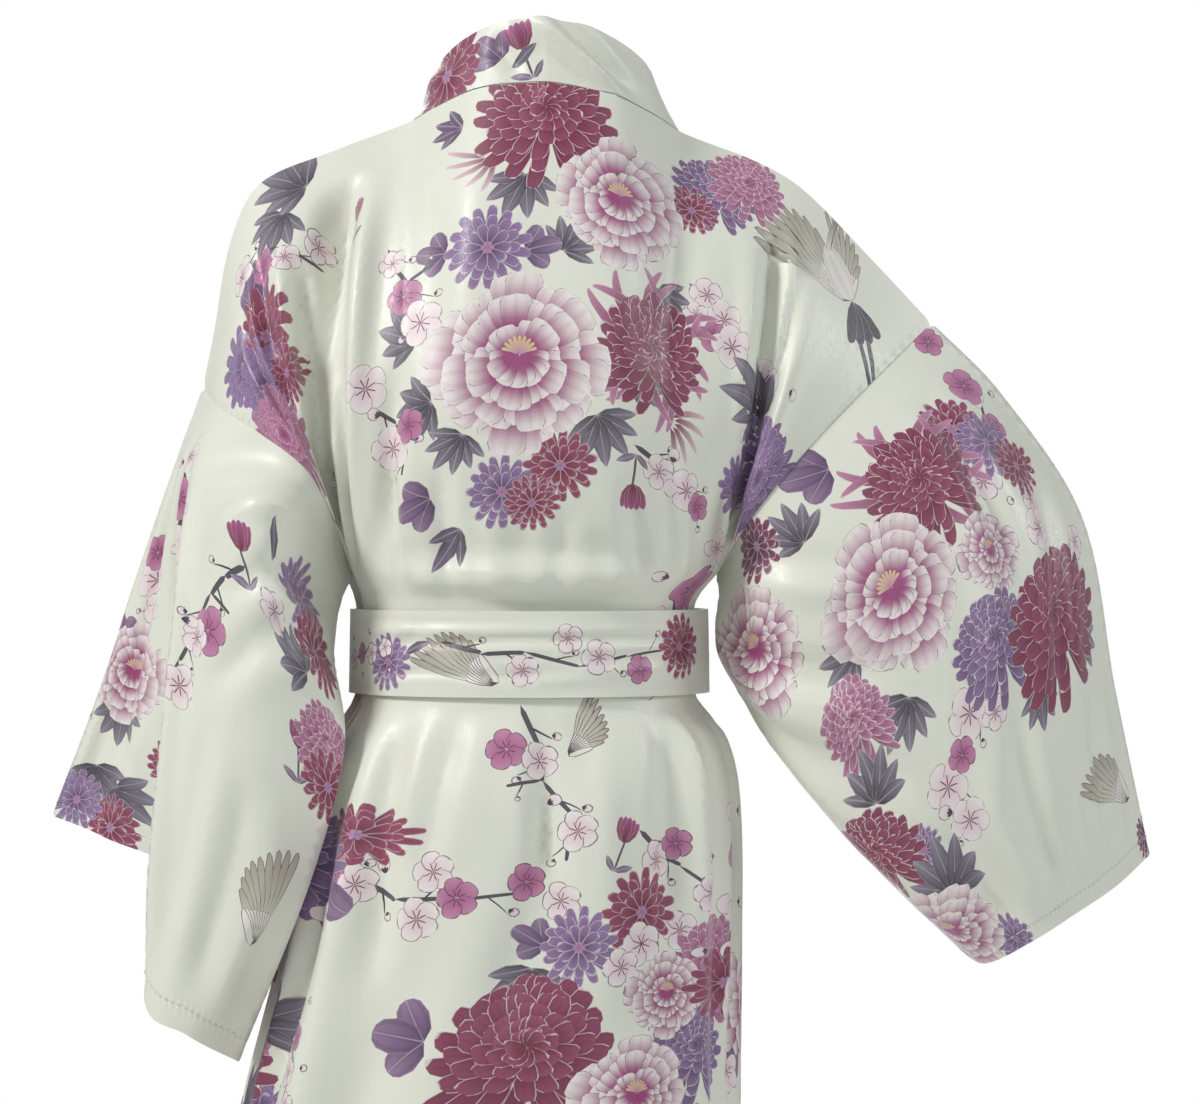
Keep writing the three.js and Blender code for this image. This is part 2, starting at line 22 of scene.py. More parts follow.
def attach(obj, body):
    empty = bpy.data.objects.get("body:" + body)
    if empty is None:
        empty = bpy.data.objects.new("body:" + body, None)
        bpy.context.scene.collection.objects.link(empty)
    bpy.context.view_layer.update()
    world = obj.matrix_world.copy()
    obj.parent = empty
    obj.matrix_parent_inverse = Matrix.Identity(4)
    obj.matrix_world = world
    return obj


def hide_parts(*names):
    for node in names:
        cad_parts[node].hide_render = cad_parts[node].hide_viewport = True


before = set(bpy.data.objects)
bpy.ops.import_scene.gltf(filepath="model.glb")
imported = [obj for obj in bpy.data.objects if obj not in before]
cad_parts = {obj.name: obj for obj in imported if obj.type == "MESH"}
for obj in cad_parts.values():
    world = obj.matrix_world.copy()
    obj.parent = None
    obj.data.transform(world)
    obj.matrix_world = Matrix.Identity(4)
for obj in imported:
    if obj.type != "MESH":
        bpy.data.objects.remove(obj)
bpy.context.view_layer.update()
print("nodes:", ", ".join(sorted(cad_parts)))

# %% [markdown]
# ## Camera, floor and light
#
# The coat is seen from behind and level with its waist, through a lens of 100 mm from 2.2 m away. A
# long lens keeps the sleeves from looking larger than the body. The light is soft and comes from above
# and from both sides, because satin shows its folds as broad highlights and needs large lamps. The
# camera sees a white room, but the room lights the coat only weakly, which keeps the folds' shade.

# %% Camera
EYE_PLACE = (-0.0343, 2.2, -0.285)
scene = bpy.context.scene
eye = bpy.data.objects.new("camera", bpy.data.cameras.new("camera"))
eye.data.lens, eye.data.sensor_width = 100.0, 36.0
eye.location = EYE_PLACE
eye.rotation_euler = (math.radians(90), 0, math.radians(180))
scene.collection.objects.link(eye)
scene.camera = eye
scene.view_settings.view_transform = "Standard"
print("camera at", tuple(round(v, 3) for v in eye.location))

# %% Floor
FLOOR_Z, FLOOR_REACH, FLOOR_CORNERS = -1.45, 3.6, 64
turns = np.linspace(0, 2 * np.pi, FLOOR_CORNERS, endpoint=False)
ring = np.stack([np.cos(turns) * FLOOR_REACH, np.sin(turns) * FLOOR_REACH, turns * 0 + FLOOR_Z], axis=1)
floor = bpy.data.objects.new("floor", bpy.data.meshes.new("floor"))
floor.data.from_pydata(ring.tolist(), [], [list(range(FLOOR_CORNERS))])
scene.collection.objects.link(floor)
pale = bpy.data.materials.new("floor_paper")
pale.use_nodes = True
paper = pale.node_tree.nodes["Principled BSDF"]
paper.inputs["Base Color"].default_value = (0.9, 0.9, 0.89, 1)
paper.inputs["Roughness"].default_value = 0.9
floor.data.materials.append(pale)
print("floor:", 2 * FLOOR_REACH, "m across, at", FLOOR_Z, "m")

# %% Lamps
AIM = Vector((0, 0, -0.35))


def lamp(name, place, size, power, colour=(1, 1, 1)):
    """A square soft box that points at the middle of the coat."""
    light = bpy.data.objects.new(name, bpy.data.lights.new(name, "AREA"))
    light.data.size, light.data.energy, light.data.color = size, power, colour
    light.location = place
    light.rotation_euler = (AIM - Vector(place)).to_track_quat("-Z", "Y").to_euler()
    scene.collection.objects.link(light)


lamp("key", (2.1, 1.35, 1.5), 0.6, 62, (1, 0.99, 0.97))
lamp("edge", (-2.3, 0.7, 0.9), 0.7, 19, (0.97, 0.99, 1))
lamp("fill", (-0.6, 2.8, 0.2), 1.2, 9)
lamp("front", (0.4, -2.8, 1.2), 2.0, 44)
print("lamps:", ", ".join(light.name for light in bpy.data.lights))

# %% The room
world = bpy.data.worlds.new("studio")
world.use_nodes = True
nodes, links = world.node_tree.nodes, world.node_tree.links
nodes["Background"].inputs["Color"].default_value = (0.93, 0.95, 0.97, 1)
nodes["Background"].inputs["Strength"].default_value = 0.29
behind = nodes.new("ShaderNodeBackground")
behind.inputs["Color"].default_value = (1, 1, 1, 1)
seen, either = nodes.new("ShaderNodeLightPath"), nodes.new("ShaderNodeMixShader")
links.new(seen.outputs["Is Camera Ray"], either.inputs[0])
links.new(nodes["Background"].outputs[0], either.inputs[1])
links.new(behind.outputs[0], either.inputs[2])
links.new(either.outputs[0], nodes["World Output"].inputs[0])
scene.world = world
print("room light:", nodes["Background"].inputs["Strength"].default_value)

# %% [markdown]
# ## The cloth's form
#
# The coat is flat pieces of cloth on a body. Each piece is a smooth function from a flat pattern, in
# millimetres, to the place where it lies when worn. The pattern is a drawing board and not the cut: the
# body's is about as wide as its cloth at the shoulders, but twice as wide at the waist. The tables are
# the CAD's own: the line over the shoulders, the armholes, level sections of the body, and loops round
# each sleeve. Between the rows of a table the cloth follows a smooth curve, so a few rows give the form.

# %% Splines over whole arrays


def spline(knots, rows, at):
    """Smooth curve through rows at knots. Slope at a knot: (next - previous) / (their distance).

    rows is (knots, 3) or (knots, points, 3), and at has one value for each point.
    """
    knots = np.asarray(knots, float)
    rows = np.asarray(rows, float)
    at = np.atleast_1d(np.asarray(at, float))
    last = len(knots) - 1
    before = np.maximum(np.arange(last + 1) - 1, 0)
    after = np.minimum(np.arange(last + 1) + 1, last)
    reach = (knots[after] - knots[before]).reshape((-1,) + (1,) * (rows.ndim - 1))
    slopes = (rows[after] - rows[before]) / reach
    i = np.searchsorted(knots[1:-1], at, side="left")
    h = knots[i + 1] - knots[i]
    k = (at - knots[i]) / h
    pick = (lambda a, j: a[j, np.arange(len(at))]) if rows.ndim == 3 else (lambda a, j: a[j])
    wide = (-1,) + (1,) * (pick(rows, i).ndim - 1)
    k, h = k.reshape(wide), h.reshape(wide)
    value = pick(rows, i) * (2 * k**3 - 3 * k**2 + 1) + pick(rows, i + 1) * (3 * k**2 - 2 * k**3)
    return value + h * (pick(slopes, i) * (k**3 - 2 * k**2 + k) + pick(slopes, i + 1) * (k**3 - k**2))


def smooth(a, b, x):
    """0 up to a, 1 from b on, and k^2 (3 - 2k) between."""
    k = np.clip((np.asarray(x, float) - a) / (b - a), 0, 1)
    return k * k * (3 - 2 * k)


print("smooth curve through 0, 1 and 4, halfway from 1 to 4:", spline([0, 1, 2], [0, 1, 4], 1.5))

# %% The body's tables, in millimetres
METRES = 0.001  # metres in one of the form's millimetres
CLOTH, HEM_CLOTH, HEM = 1.5, 2.4, 16.0
BODY_LENGTH, LAYER_RISE = 842.0, 6.0
BAND_WIDTH, BAND_CLOTH = 48.0, 3.0
SASH_WIDTH, SASH_CLOTH, SASH_MIDDLE = 55.0, 2.5, 368.0
NECK_SHARE = 0.28
FRONT_NECK = (-60.0, -30.0)

# Over the shoulder: share across, x, y, z.
TOP_LEFT = np.array([
    (0, 0, 58, 18), (0.15, 45, 46, 15), (0.23, 76, 20, 5), (0.28, 91, 3, -1), (0.46, 142, 0, -20),
    (0.61, 191, 0, -42), (0.72, 210, -2, -80), (0.89, 221, -6, -138), (1, 229, -10, -176),
])
TOP_RIGHT = np.array([
    (0, 0, 58, 18), (0.15, -43, 46, 11), (0.23, -72, 21, 0), (0.28, -88, 4, -8),
    (0.45, -138, 0, -27), (0.58, -168, 0, -45), (0.78, -210, -3, -87), (1, -254, -8, -133),
])
# Down the armholes, a quarter, a half and three quarters of the way: x, y, z.
ARMHOLES = {
    ("left", "back"): [(214, 32, -191), (186, 62, -208), (148, 70, -240)],
    ("left", "front"): [(216, -44, -196), (188, -72, -225), (150, -66, -264)],
    ("right", "back"): [(-212, 34, -174), (-171, 58, -216), (-133, 60, -262)],
    ("right", "front"): [(-214, -42, -176), (-174, -70, -220), (-136, -62, -264)],
}
# Level sections from the armpits to the hem: down, z, left, right, back, front.
SECTIONS = np.array([
    (314, -296, 130, -114, 92, -86),  # armpit
    (337, -319, 122, -97, 83, -74),  # sash, upper edge
    (399, -381, 123, -98, 84, -76),  # sash, lower edge
    (425, -407, 138, -118, 92, -86),
    (469, -450, 154, -127, 101, -96),  # hip
    (569, -550, 172, -128, 106, -104),
    (669, -650, 197, -127, 110, -110),
    (759, -740, 215, -129, 113, -114),
    (842, -823, 228, -134, 114, -118),  # hem
])
ARMPIT, QUARTERS = SECTIONS[0], (0.25, 0.5, 0.75)
WRAP = ([0, 0.2, 0.4, 0.5, 0.7, 1], [0, 32, 62, 73, 83, 90])
FULL_AT = [0, 0.28, 0.46, 0.6, 0.8, 1]
FULLNESS = {"back": [27, 46, 54, 56, 62, 60], "front": [30, 62, 66, 62, 58, 55]}
FRONT_EDGE = (
    [0, 75, 150, 225, 300, 342, 395, 842],
    [0.28, 0.24, 0.15, 0.02, -0.15, -0.24, -0.28, -0.36],
)
print("level sections:", len(SECTIONS), "from", ARMPIT[0], "to", BODY_LENGTH, "mm down")

# %% The sleeves' tables, in millimetres
# Each point's share of the way round, each loop's share of the length, then x, y, z.
SLEEVES = {
    "left": {
        "round": [0, 0.1, 0.2, 0.28, 0.39, 0.5, 0.67, 0.83, 0.92, 1],
        "along": [0.16, 0.42, 0.72, 1],
        "x": [
            [249, 241, 232, 224, 178, 138, 156, 184, 232],
            [279, 259, 241, 235, 185, 128, 162, 190, 250],
            [311, 281, 243, 247, 200, 151, 186, 212, 276],
            [340, 300, 234, 260, 231, 200, 208, 236, 294],
        ],
        "y": [
            [-25, 0, 24, 42, 92, 30, -26, -94, -84],
            [-48, -24, 4, 48, 86, 66, -8, -110, -102],
            [-64, -44, 2, 48, 74, 58, -12, -114, -108],
            [-78, -52, -6, 42, 56, 32, -22, -112, -114],
        ],
        "z": [
            [-225, -225, -225, -237, -263, -345, -333, -272, -238],
            [-303, -308, -312, -332, -350, -408, -392, -332, -308],
            [-391, -405, -418, -447, -475, -498, -486, -426, -398],
            [-465, -478, -508, -574, -596, -617, -602, -518, -478],
        ],
    },
    "right": {
        "round": [0, 0.12, 0.25, 0.38, 0.46, 0.5, 0.67, 0.83, 0.92, 1],
        "along": [0.18, 0.42, 0.7, 1],
        "x": [
            [-300, -268, -222, -165, -128, -112, -128, -186, -256],
            [-354, -322, -272, -214, -172, -160, -168, -228, -306],
            [-376, -345, -304, -260, -228, -214, -218, -270, -336],
            [-399, -372, -342, -311, -284, -272, -262, -290, -354],
        ],
        "y": [
            [-8, 44, 70, 74, 40, 4, -60, -98, -68],
            [-10, 44, 72, 76, 46, 8, -68, -112, -78],
            [-10, 42, 66, 70, 46, 10, -68, -116, -80],
            [-12, 22, 44, 52, 38, 16, -62, -118, -92],
        ],
        "z": [
            [-180, -208, -250, -312, -352, -352, -325, -262, -204],
            [-262, -290, -328, -382, -434, -430, -398, -330, -280],
            [-376, -404, -436, -470, -502, -492, -458, -400, -374],
            [-486, -503, -519, -537, -552, -548, -518, -470, -446],
        ],
    },
}
print("loops of a sleeve:", len(SLEEVES["left"]["along"]), "after the armhole")

# %% The neckband's table, in millimetres
# It stands round the neck: share across, then x, y, z from its seam to its upper edge.
STAND = np.array([
    (0, 0, -5, 43), (0.15, -5, -7, 40), (0.23, -7, -14, 36), (0.28, -12, -32, 24),
])
ROLL, NECK_WAY = 150.0, 0.25  # the roll's length down each front; the neck's share of half the band
print("the neckband stands", STAND[0, 3], "mm high at the nape")

# %% The body's lines


def top_point(s, face):
    """The line over the shoulders at shares s; on the fronts it dips before the neck."""
    a = np.abs(s)
    left = spline(TOP_LEFT[:, 0], TOP_LEFT[:, 1:], a)
    right = spline(TOP_RIGHT[:, 0], TOP_RIGHT[:, 1:], a)
    p = np.where((s >= 0)[:, None], left, right)
    if face == "front":
        k = smooth(NECK_SHARE, 0, a)
        p[:, 1] += (FRONT_NECK[0] - p[:, 1]) * k
        p[:, 2] += (FRONT_NECK[1] - p[:, 2]) * k
    return p


def section_point(row, s, face):
    """x = middle + half sin(turn), y = depth cos(turn)^0.9 at the section's height."""
    turn = np.radians(spline(WRAP[0], WRAP[1], np.abs(s)))
    _, z, left, right, back, front = row
    x = (left + right) / 2 + np.sign(s) * (left - right) / 2 * np.sin(turn)
    y = (back if face == "back" else front) * np.maximum(np.cos(turn), 0) ** 0.9
    return np.stack([x, y, np.full_like(x, z)], axis=1)


def straight_down(share, s, face):
    """From the top line to the armpit section, standing out over shoulder blades or chest."""
    out = spline(FULL_AT, FULLNESS[face], np.abs(s))
    p = top_point(s, face) * (1 - share) + section_point(ARMPIT, s, face) * share
    p[:, 1] += (1 if face == "back" else -1) * out * math.sin(math.pi * share) ** 0.8
    return p


def upper_point(row, s, face):
    """Towards the sides the cloth is drawn to the armhole seam."""
    share = QUARTERS[row]
    pull = np.zeros((len(s), 3))
    for side, sign in (("left", 1.0), ("right", -1.0)):
        end = straight_down(share, np.array([sign]), face)[0]
        here = np.asarray(ARMHOLES[side, face][row], float) - end
        pull += np.where((s >= 0) == (sign > 0), 1.0, 0.0)[:, None] * here
    return straight_down(share, s, face) + pull * smooth(0.5, 1, np.abs(s))[:, None]


# %% The body's surface
BODY_KNOTS = [0, *(share * ARMPIT[0] for share in QUARTERS), *SECTIONS[:, 0]]


def body_point(s, down, face):
    """The body's smooth surface, before any fold, at shares s and distances down from the nape."""
    s, down = np.asarray(s, float), np.asarray(down, float)
    rows = [top_point(s, face)]
    rows += [upper_point(row, s, face) for row in range(3)]
    rows += [section_point(row, s, face) for row in SECTIONS]
    p = spline(BODY_KNOTS, np.stack(rows), down)
    below = down >= ARMPIT[0]
    limit = np.maximum(p[:, 1], 0.35) if face == "back" else np.minimum(p[:, 1], -0.35)
    p[:, 1] = np.where(below, limit, p[:, 1])
    return p


def unit(v):
    """Vectors of length 1."""
    return v / np.maximum(np.linalg.norm(v, axis=1, keepdims=True), 1e-9)


def body_normal(s, down, face):
    """Outward normal. On the shoulder line it is square to that line, shared by back and fronts."""
    at_s, at_d = np.clip(s, -0.97, 0.97), np.clip(down, 2, BODY_LENGTH - 2)
    along_s = body_point(at_s + 0.01, at_d, face) - body_point(at_s - 0.01, at_d, face)
    along_d = body_point(at_s, at_d + 2, face) - body_point(at_s, at_d - 2, face)
    n = unit(np.cross(along_s, along_d)) * (1 if face == "back" else -1)
    line = top_point(np.minimum(at_s + 0.001, 1), "back") - top_point(at_s - 0.001, "back")
    up = unit(np.stack([-line[:, 2], np.zeros(len(line)), line[:, 0]], axis=1))
    k = smooth(40, 0, down) * (np.abs(s) > NECK_SHARE - 0.02)
    return unit(n * (1 - k[:, None]) + up * k[:, None])


def front_edge(down):
    """Share across at which each front's edge runs, from the side of the neck to the hem."""
    return spline(FRONT_EDGE[0], FRONT_EDGE[1], down)


def left_rise(s, down):
    """How far the left front is lifted over the right one."""
    return LAYER_RISE * smooth(0.95, 0.75, s) * smooth(30, 160, down)


hip = body_point([-1, 1], [469, 469], "back")
print("the back is", round(hip[1, 0] - hip[0, 0]), "mm wide at the hip")

# %% The sleeves' surface


def armhole_point(side, turn):
    """The armhole seam is the body panels' own side edge; turn is the share of the way round."""
    share = np.where(turn <= 0.5, turn / 0.5, (1 - turn) / 0.5)
    s = np.full(len(turn), 1.0 if side == "left" else -1.0)
    back, front = (body_point(s, share * ARMPIT[0], face) for face in ("back", "front"))
    return np.where((turn <= 0.5)[:, None], back, front)


def sleeve_point(side, turn, along):
    """A sleeve's smooth surface: turn goes round from the crease, along from armhole to cuff."""
    turn, along = np.asarray(turn, float), np.asarray(along, float)
    table = SLEEVES[side]
    knots = table["round"]
    seam = knots.index(0.5)
    rows = [armhole_point(side, turn)]
    for x, y, z in zip(table["x"], table["y"], table["z"]):
        loop = np.stack([x, y, z], axis=1).astype(float)
        loop = np.concatenate([loop, loop[:1]])
        back = spline(knots[: seam + 1], loop[: seam + 1], np.minimum(turn, 0.5))
        front = spline(knots[seam:], loop[seam:], np.maximum(turn, 0.5))
        rows.append(np.where((turn <= 0.5)[:, None], back, front))
    return spline([0, *table["along"]], np.stack(rows), along)


def sleeve_normal(side, turn, along):
    """Its outward normal. The two layers share it at the crease and at the underarm seam."""
    step = 0.012
    low, high = np.maximum(along - step, 0), np.minimum(along + step, 1)
    round_way = sleeve_point(side, (turn + step) % 1, along) - sleeve_point(
        side, (turn - step) % 1, along
    )
    long_way = sleeve_point(side, turn, high) - sleeve_point(side, turn, low)
    n = unit(np.cross(round_way, long_way)) * (-1 if side == "left" else 1)
    share = np.where(turn <= 0.5, turn / 0.5, (1 - turn) / 0.5)
    s = np.full(len(turn), 1.0 if side == "left" else -1.0)
    back, front = (body_normal(s, share * ARMPIT[0], face) for face in ("back", "front"))
    k = smooth(0.1, 0, along)[:, None]
    return unit(n * (1 - k) + np.where((turn <= 0.5)[:, None], back, front) * k)


print("top of the left cuff:", np.round(sleeve_point("left", [0.0], [1.0])[0]))

# %% [markdown]
# ## Folds
#
# Worn satin hangs in long soft folds. The deep ones run from the shoulders to the sash and below it,
# and are part of the form. Finer creases are laid on top of it: each is a line on the flat pattern with
# a width and a depth, deepest in the middle and faded out at its ends. Placed one by one they stay exactly
# where they are wanted, which a simulation wouldn't promise.

# %% Folds and creases
# face, then share across and distance down of both ends, half width in shares, depth.
FOLDS = [
    ("back", 0.43, 20, 0.68, 330, 0.045, 24), ("back", -0.54, 45, -0.68, 320, 0.04, 16),
    ("front", 0.5, 30, 0.68, 320, 0.05, 18), ("front", -0.55, 40, -0.66, 285, 0.05, 14),
    ("back", 0.66, 395, 0.6, 760, 0.07, 10), ("back", -0.1, 398, 0.02, 620, 0.05, 6),
    ("back", -0.62, 398, -0.5, 700, 0.07, 9), ("front", 0.55, 398, 0.5, 780, 0.08, 12),
    ("front", 0.1, 398, 0.05, 700, 0.08, 7),
]


def fold_depth(s, down, face):
    """deep * fade in * fade out * exp(-((s - line) / wide)^2), summed over the face's folds."""
    depth = np.zeros(len(s))
    for at, s0, d0, s1, d1, wide, deep in FOLDS:
        if at != face:
            continue
        along = (down - d0) / (d1 - d0)
        fade = smooth(0, 0.12, along) * smooth(1, 0.75, along)
        depth += deep * fade * np.exp(-(((s - (s0 + (s1 - s0) * along)) / wide) ** 2))
    return depth


BOLDNESS = 1.8  # on every crease's height


def creases(table, x, y):
    """Height of fine creases. Each row: x0, y0, x1, y1, half width, height, bow; a trough is negative.

    height * fade in * fade out * (exp(-q^2) - 0.35 exp(-(|q| - 2)^2)), with q = distance / half width.
    """
    height = np.zeros(len(x))
    for x0, y0, x1, y1, wide, high, bow in table:
        length = math.hypot(x1 - x0, y1 - y0)
        ux, uy = (x1 - x0) / length, (y1 - y0) / length
        along = ((x - x0) * ux + (y - y0) * uy) / length
        across = (y - y0) * ux - (x - x0) * uy - bow * 4 * along * (1 - along)
        fade = smooth(0, 0.3, along) * smooth(1, 0.7, along)
        q = across / wide
        height += high * fade * (np.exp(-(q**2)) - 0.35 * np.exp(-((np.abs(q) - 2) ** 2)))
    return BOLDNESS * height


def body_cloth(s, down, face, rise):
    """The body's cloth with its deep folds, rise mm above its outer face."""
    s, down = np.asarray(s, float), np.asarray(down, float)
    return body_point(s, down, face) + body_normal(s, down, face) * (
        rise - fold_depth(s, down, face)
    )[:, None]


print("deep folds:", len(FOLDS))

# %% A surface read from a table


def tabled(place, normal, low, high, step=4.0):
    """Place and normal sampled on an even net over the flat pattern, once, and read back smoothly.

    Each reading is a Catmull-Rom mean of the 4 x 4 samples around it, so it costs little however
    long the form's own formulas are.
    """
    xs = np.arange(low[0] - 2 * step, high[0] + 3 * step, step)
    ys = np.arange(low[1] - 2 * step, high[1] + 3 * step, step)
    x, y = (a.ravel() for a in np.meshgrid(xs, ys, indexing="ij"))
    table = np.concatenate([place(x, y), normal(x, y)], axis=1).reshape(len(xs), len(ys), 6)

    def weights(k):
        """Catmull-Rom weights of four neighbours at the share k between the middle two."""
        return (
            (-k + 2 * k**2 - k**3) / 2, (2 - 5 * k**2 + 3 * k**3) / 2,
            (k + 4 * k**2 - 3 * k**3) / 2, (k**3 - k**2) / 2,
        )

    def read(x, y):
        u, v = (x - xs[0]) / step, (y - ys[0]) / step
        i = np.clip(np.floor(u).astype(int), 1, len(xs) - 3)
        j = np.clip(np.floor(v).astype(int), 1, len(ys) - 3)
        total = 0
        for a, wa in enumerate(weights(u - i)):
            for b, wb in enumerate(weights(v - j)):
                total = total + (wa * wb)[:, None] * table[i + a - 1, j + b - 1]
        return total[:, :3], unit(total[:, 3:])

    return read


# %% The neckband's surface


def stand_vector(s):
    """From the band's seam to its upper edge, where it stands round the neck."""
    way = spline(STAND[:, 0], STAND[:, 1:], np.abs(s))
    way[:, 0] *= np.sign(s) * smooth(0, 0.16, np.abs(s))
    return way


def lying_point(left, down, out):
    """On a front the band lies in the front's own surface, out mm from its seam."""
    sign = np.where(left, 1.0, -1.0)
    edge, step = sign * front_edge(down), 0.01
    here, there = body_point(edge, down, "front"), body_point(edge - sign * step, down, "front")
    reach = np.linalg.norm(there - here, axis=1)
    s = edge - sign * step * out / reach
    return body_cloth(s, down, "front", np.where(left, left_rise(s, down), 0))


def band_point(way, out):
    """way runs from the left front's hem at -1 over the nape at 0 to the right front's hem at 1."""
    way, out = np.asarray(way, float), np.asarray(out, float)
    neck = np.clip(-way * NECK_SHARE / NECK_WAY, -NECK_SHARE, NECK_SHARE)
    round_neck = top_point(neck, "back") + stand_vector(neck) * (out / BAND_WIDTH)[:, None]
    left = way < 0
    down = np.maximum((np.abs(way) - NECK_WAY) / (1 - NECK_WAY) * BODY_LENGTH, 0)
    stand = lying_point(left, down, out * 0)
    stand += stand_vector(np.where(left, NECK_SHARE, -NECK_SHARE)) * (out / BAND_WIDTH)[:, None]
    turned = smooth(0, ROLL, down)[:, None]
    lying = stand + (lying_point(left, down, out) - stand) * turned
    return np.where((np.abs(way) <= NECK_WAY)[:, None], round_neck, lying)


def band_normal(way, out):
    """Outward normal of the band."""
    way, out = np.clip(way, -0.995, 0.995), np.maximum(out, 2)
    along = band_point(way + 0.005, out) - band_point(way - 0.005, out)
    across = band_point(way, out + 2) - band_point(way, out - 2)
    return unit(np.cross(along, across))


print("upper edge of the neckband at the nape:", np.round(band_point([0.0], [BAND_WIDTH])[0]))

# %% The sash's surface
SASH_ROUND = 104.0  # mean radius: mm of flat sash for one radian round the waist
CLEAR_BACK, CLEAR_FRONT = 0.9, 6.9  # mm off the coat


def sash_point(turn, v, rise):
    """Round the waist: turn 0 is the middle of the back, v goes from the upper edge to the lower."""
    upper, lower = SECTIONS[1], SECTIONS[2]
    down = SASH_MIDDLE + (v - 0.5) * SASH_WIDTH
    k = (down - upper[0]) / (lower[0] - upper[0])
    left, right, back, front = (upper[i] + (lower[i] - upper[i]) * k for i in range(2, 6))
    middle, half = (left + right) / 2, (left - right) / 2
    depth = np.where(np.cos(turn) >= 0, back, -front)
    clear = CLEAR_BACK + (CLEAR_FRONT - CLEAR_BACK) * smooth(0.3, -0.1, np.cos(turn))
    x, y = np.sin(turn), np.sign(np.cos(turn)) * np.abs(np.cos(turn)) ** 0.9
    out = unit(np.stack([x / half, y / depth, x * 0], axis=1))
    place = np.stack([middle + half * x, depth * y, TOP_LEFT[0, 3] - down], axis=1)
    return place + out * (clear + rise)[:, None]


KNOT_SEAT = sash_point(np.array([math.pi]), np.array([0.5]), np.array([SASH_CLOTH]))[0]
TAIL_KNOTS, TAIL_TOP, TAIL_LENGTH = [0, 0.09, 0.2, 0.4, 0.7, 1], 368.0, 300.0
KNOT_GAP = 1.4  # mm from the knot's seat to the ends under it
TAILS = {"left": (1, 30, [4, 4, 6, 6, 7, 9]), "right": (-1, -22, [4, 4, 12, 12, 12, 14])}


def tail_point(side, across, down, rise):
    """One hanging end: from under the knot it widens, swings outwards and lies off the skirt."""
    sign, lean, off = TAILS[side]
    k = (down - TAIL_TOP) / TAIL_LENGTH
    wide = SASH_WIDTH * (0.48 + 0.52 * smooth(0.09, 0.4, k))
    x = KNOT_SEAT[0] + sign * (0.25 * SASH_WIDTH + 1) + lean * k + across * wide
    over = spline(SECTIONS[:, 0], SECTIONS[:, 5], down) - LAYER_RISE - spline(TAIL_KNOTS, off, k)
    y = np.minimum(over, KNOT_SEAT[1] - KNOT_GAP) - rise
    return np.stack([x, y, TOP_LEFT[0, 3] - down], axis=1)


print("coat:", BODY_LENGTH, "mm long; sash knot at", np.round(KNOT_SEAT, 1))

# %% [markdown]
# ## The print
#
# The satin is printed with chrysanthemums, peonies, plum blossom on branches and cranes. Everything is
# made of one shape, the petal: a strip that runs from its base to its tip, bends to one side and is
# widest somewhere on the way. A flower is rings of petals, a branch a chain of narrow ones, and a
# crane's wing a fan of feathers. Petals are listed in the order in which they are printed, and each has
# a row of numbers, so that a whole panel's print is one table.

# %% One petal
EDGE_AT = np.array([0, 0.2, 0.55, 0.85, 0.965, 1])  # shares of a petal's length with a point
STEPS = len(EDGE_AT) - 1


def petal(x, y, turn, length, width, base, tip, bend=0.0, a=0.6, b=0.4, ink=0.5, vein=0.0, rim=0.0):
    """Half width at the share t of its length: width t^a (1 - t)^b, scaled to width at its widest.

    ink is the outline, dark above 0 and pale below, and with rim 1 it is drawn round the tip only.
    """
    return (x, y, turn, length, width, bend, a, b, ink, vein, *base, *tip, rim)


def half_width(t, width, a, b):
    """width (t / t0)^a ((1 - t) / (1 - t0))^b with t0 = a / (a + b)."""
    t0 = a / (a + b)
    t = np.clip(t, 0, 1)
    return width * (t / t0) ** a * ((1 - t) / (1 - t0)) ** b


def outlines(rows):
    """(petals, points, 2): round each petal from base to tip along one edge and back along the other."""
    t = np.concatenate([EDGE_AT, EDGE_AT[-2:0:-1]])
    edge = np.concatenate([[0], -np.ones(STEPS - 1), [0], np.ones(STEPS - 1)])
    x, y, turn, length, width, bend, a, b = (rows[:, [i]] for i in range(8))
    across = bend * length * t**2 + edge * half_width(t, width, a, b)
    along = t * length
    cos, sin = np.cos(turn), np.sin(turn)
    return np.stack([x + along * cos - across * sin, y + along * sin + across * cos], axis=2)


print("half width of a petal from base to tip:", np.round(half_width(EDGE_AT, 10, 0.6, 0.4), 1))

# %% Inks, as linear red, green and blue
BURGUNDY, PLUM, MAGENTA = (0.16, 0.022, 0.05), (0.22, 0.05, 0.12), (0.38, 0.10, 0.24)
ROSE, PINK, BLUSH, WHITE = (0.31, 0.075, 0.145), (0.54, 0.25, 0.40), (0.74, 0.56, 0.62), (0.84, 0.79, 0.77)
PURPLE, LILAC, GREY = (0.10, 0.055, 0.14), (0.30, 0.20, 0.38), (0.19, 0.15, 0.22)
SLATE, DARK, OLIVE = (0.085, 0.085, 0.115), (0.04, 0.035, 0.05), (0.16, 0.155, 0.10)
YELLOW, BARK = (0.72, 0.58, 0.28), (0.10, 0.085, 0.10)
CREAM = (0.72, 0.745, 0.64)


def polar(x, y, r, turn):
    """The point at distance r from (x, y) in the direction turn."""
    return x + r * math.cos(turn), y + r * math.sin(turn)


def wobble(i, k=1.0):
    """Repeatable unevenness between -1 and 1."""
    return math.sin(12.9898 * i + 4.1 * k) * math.cos(7.233 * i * k + 1.7)


# %% Leaves


def leaf(x, y, turn, size, tone=SLATE, tip=GREY, bend=0.12):
    """One pointed leaf with a pale midrib and side veins."""
    return [petal(x, y, turn, size, size * 0.19, tone, tip, bend, a=0.8, b=0.9, ink=-0.2, vein=1.0)]


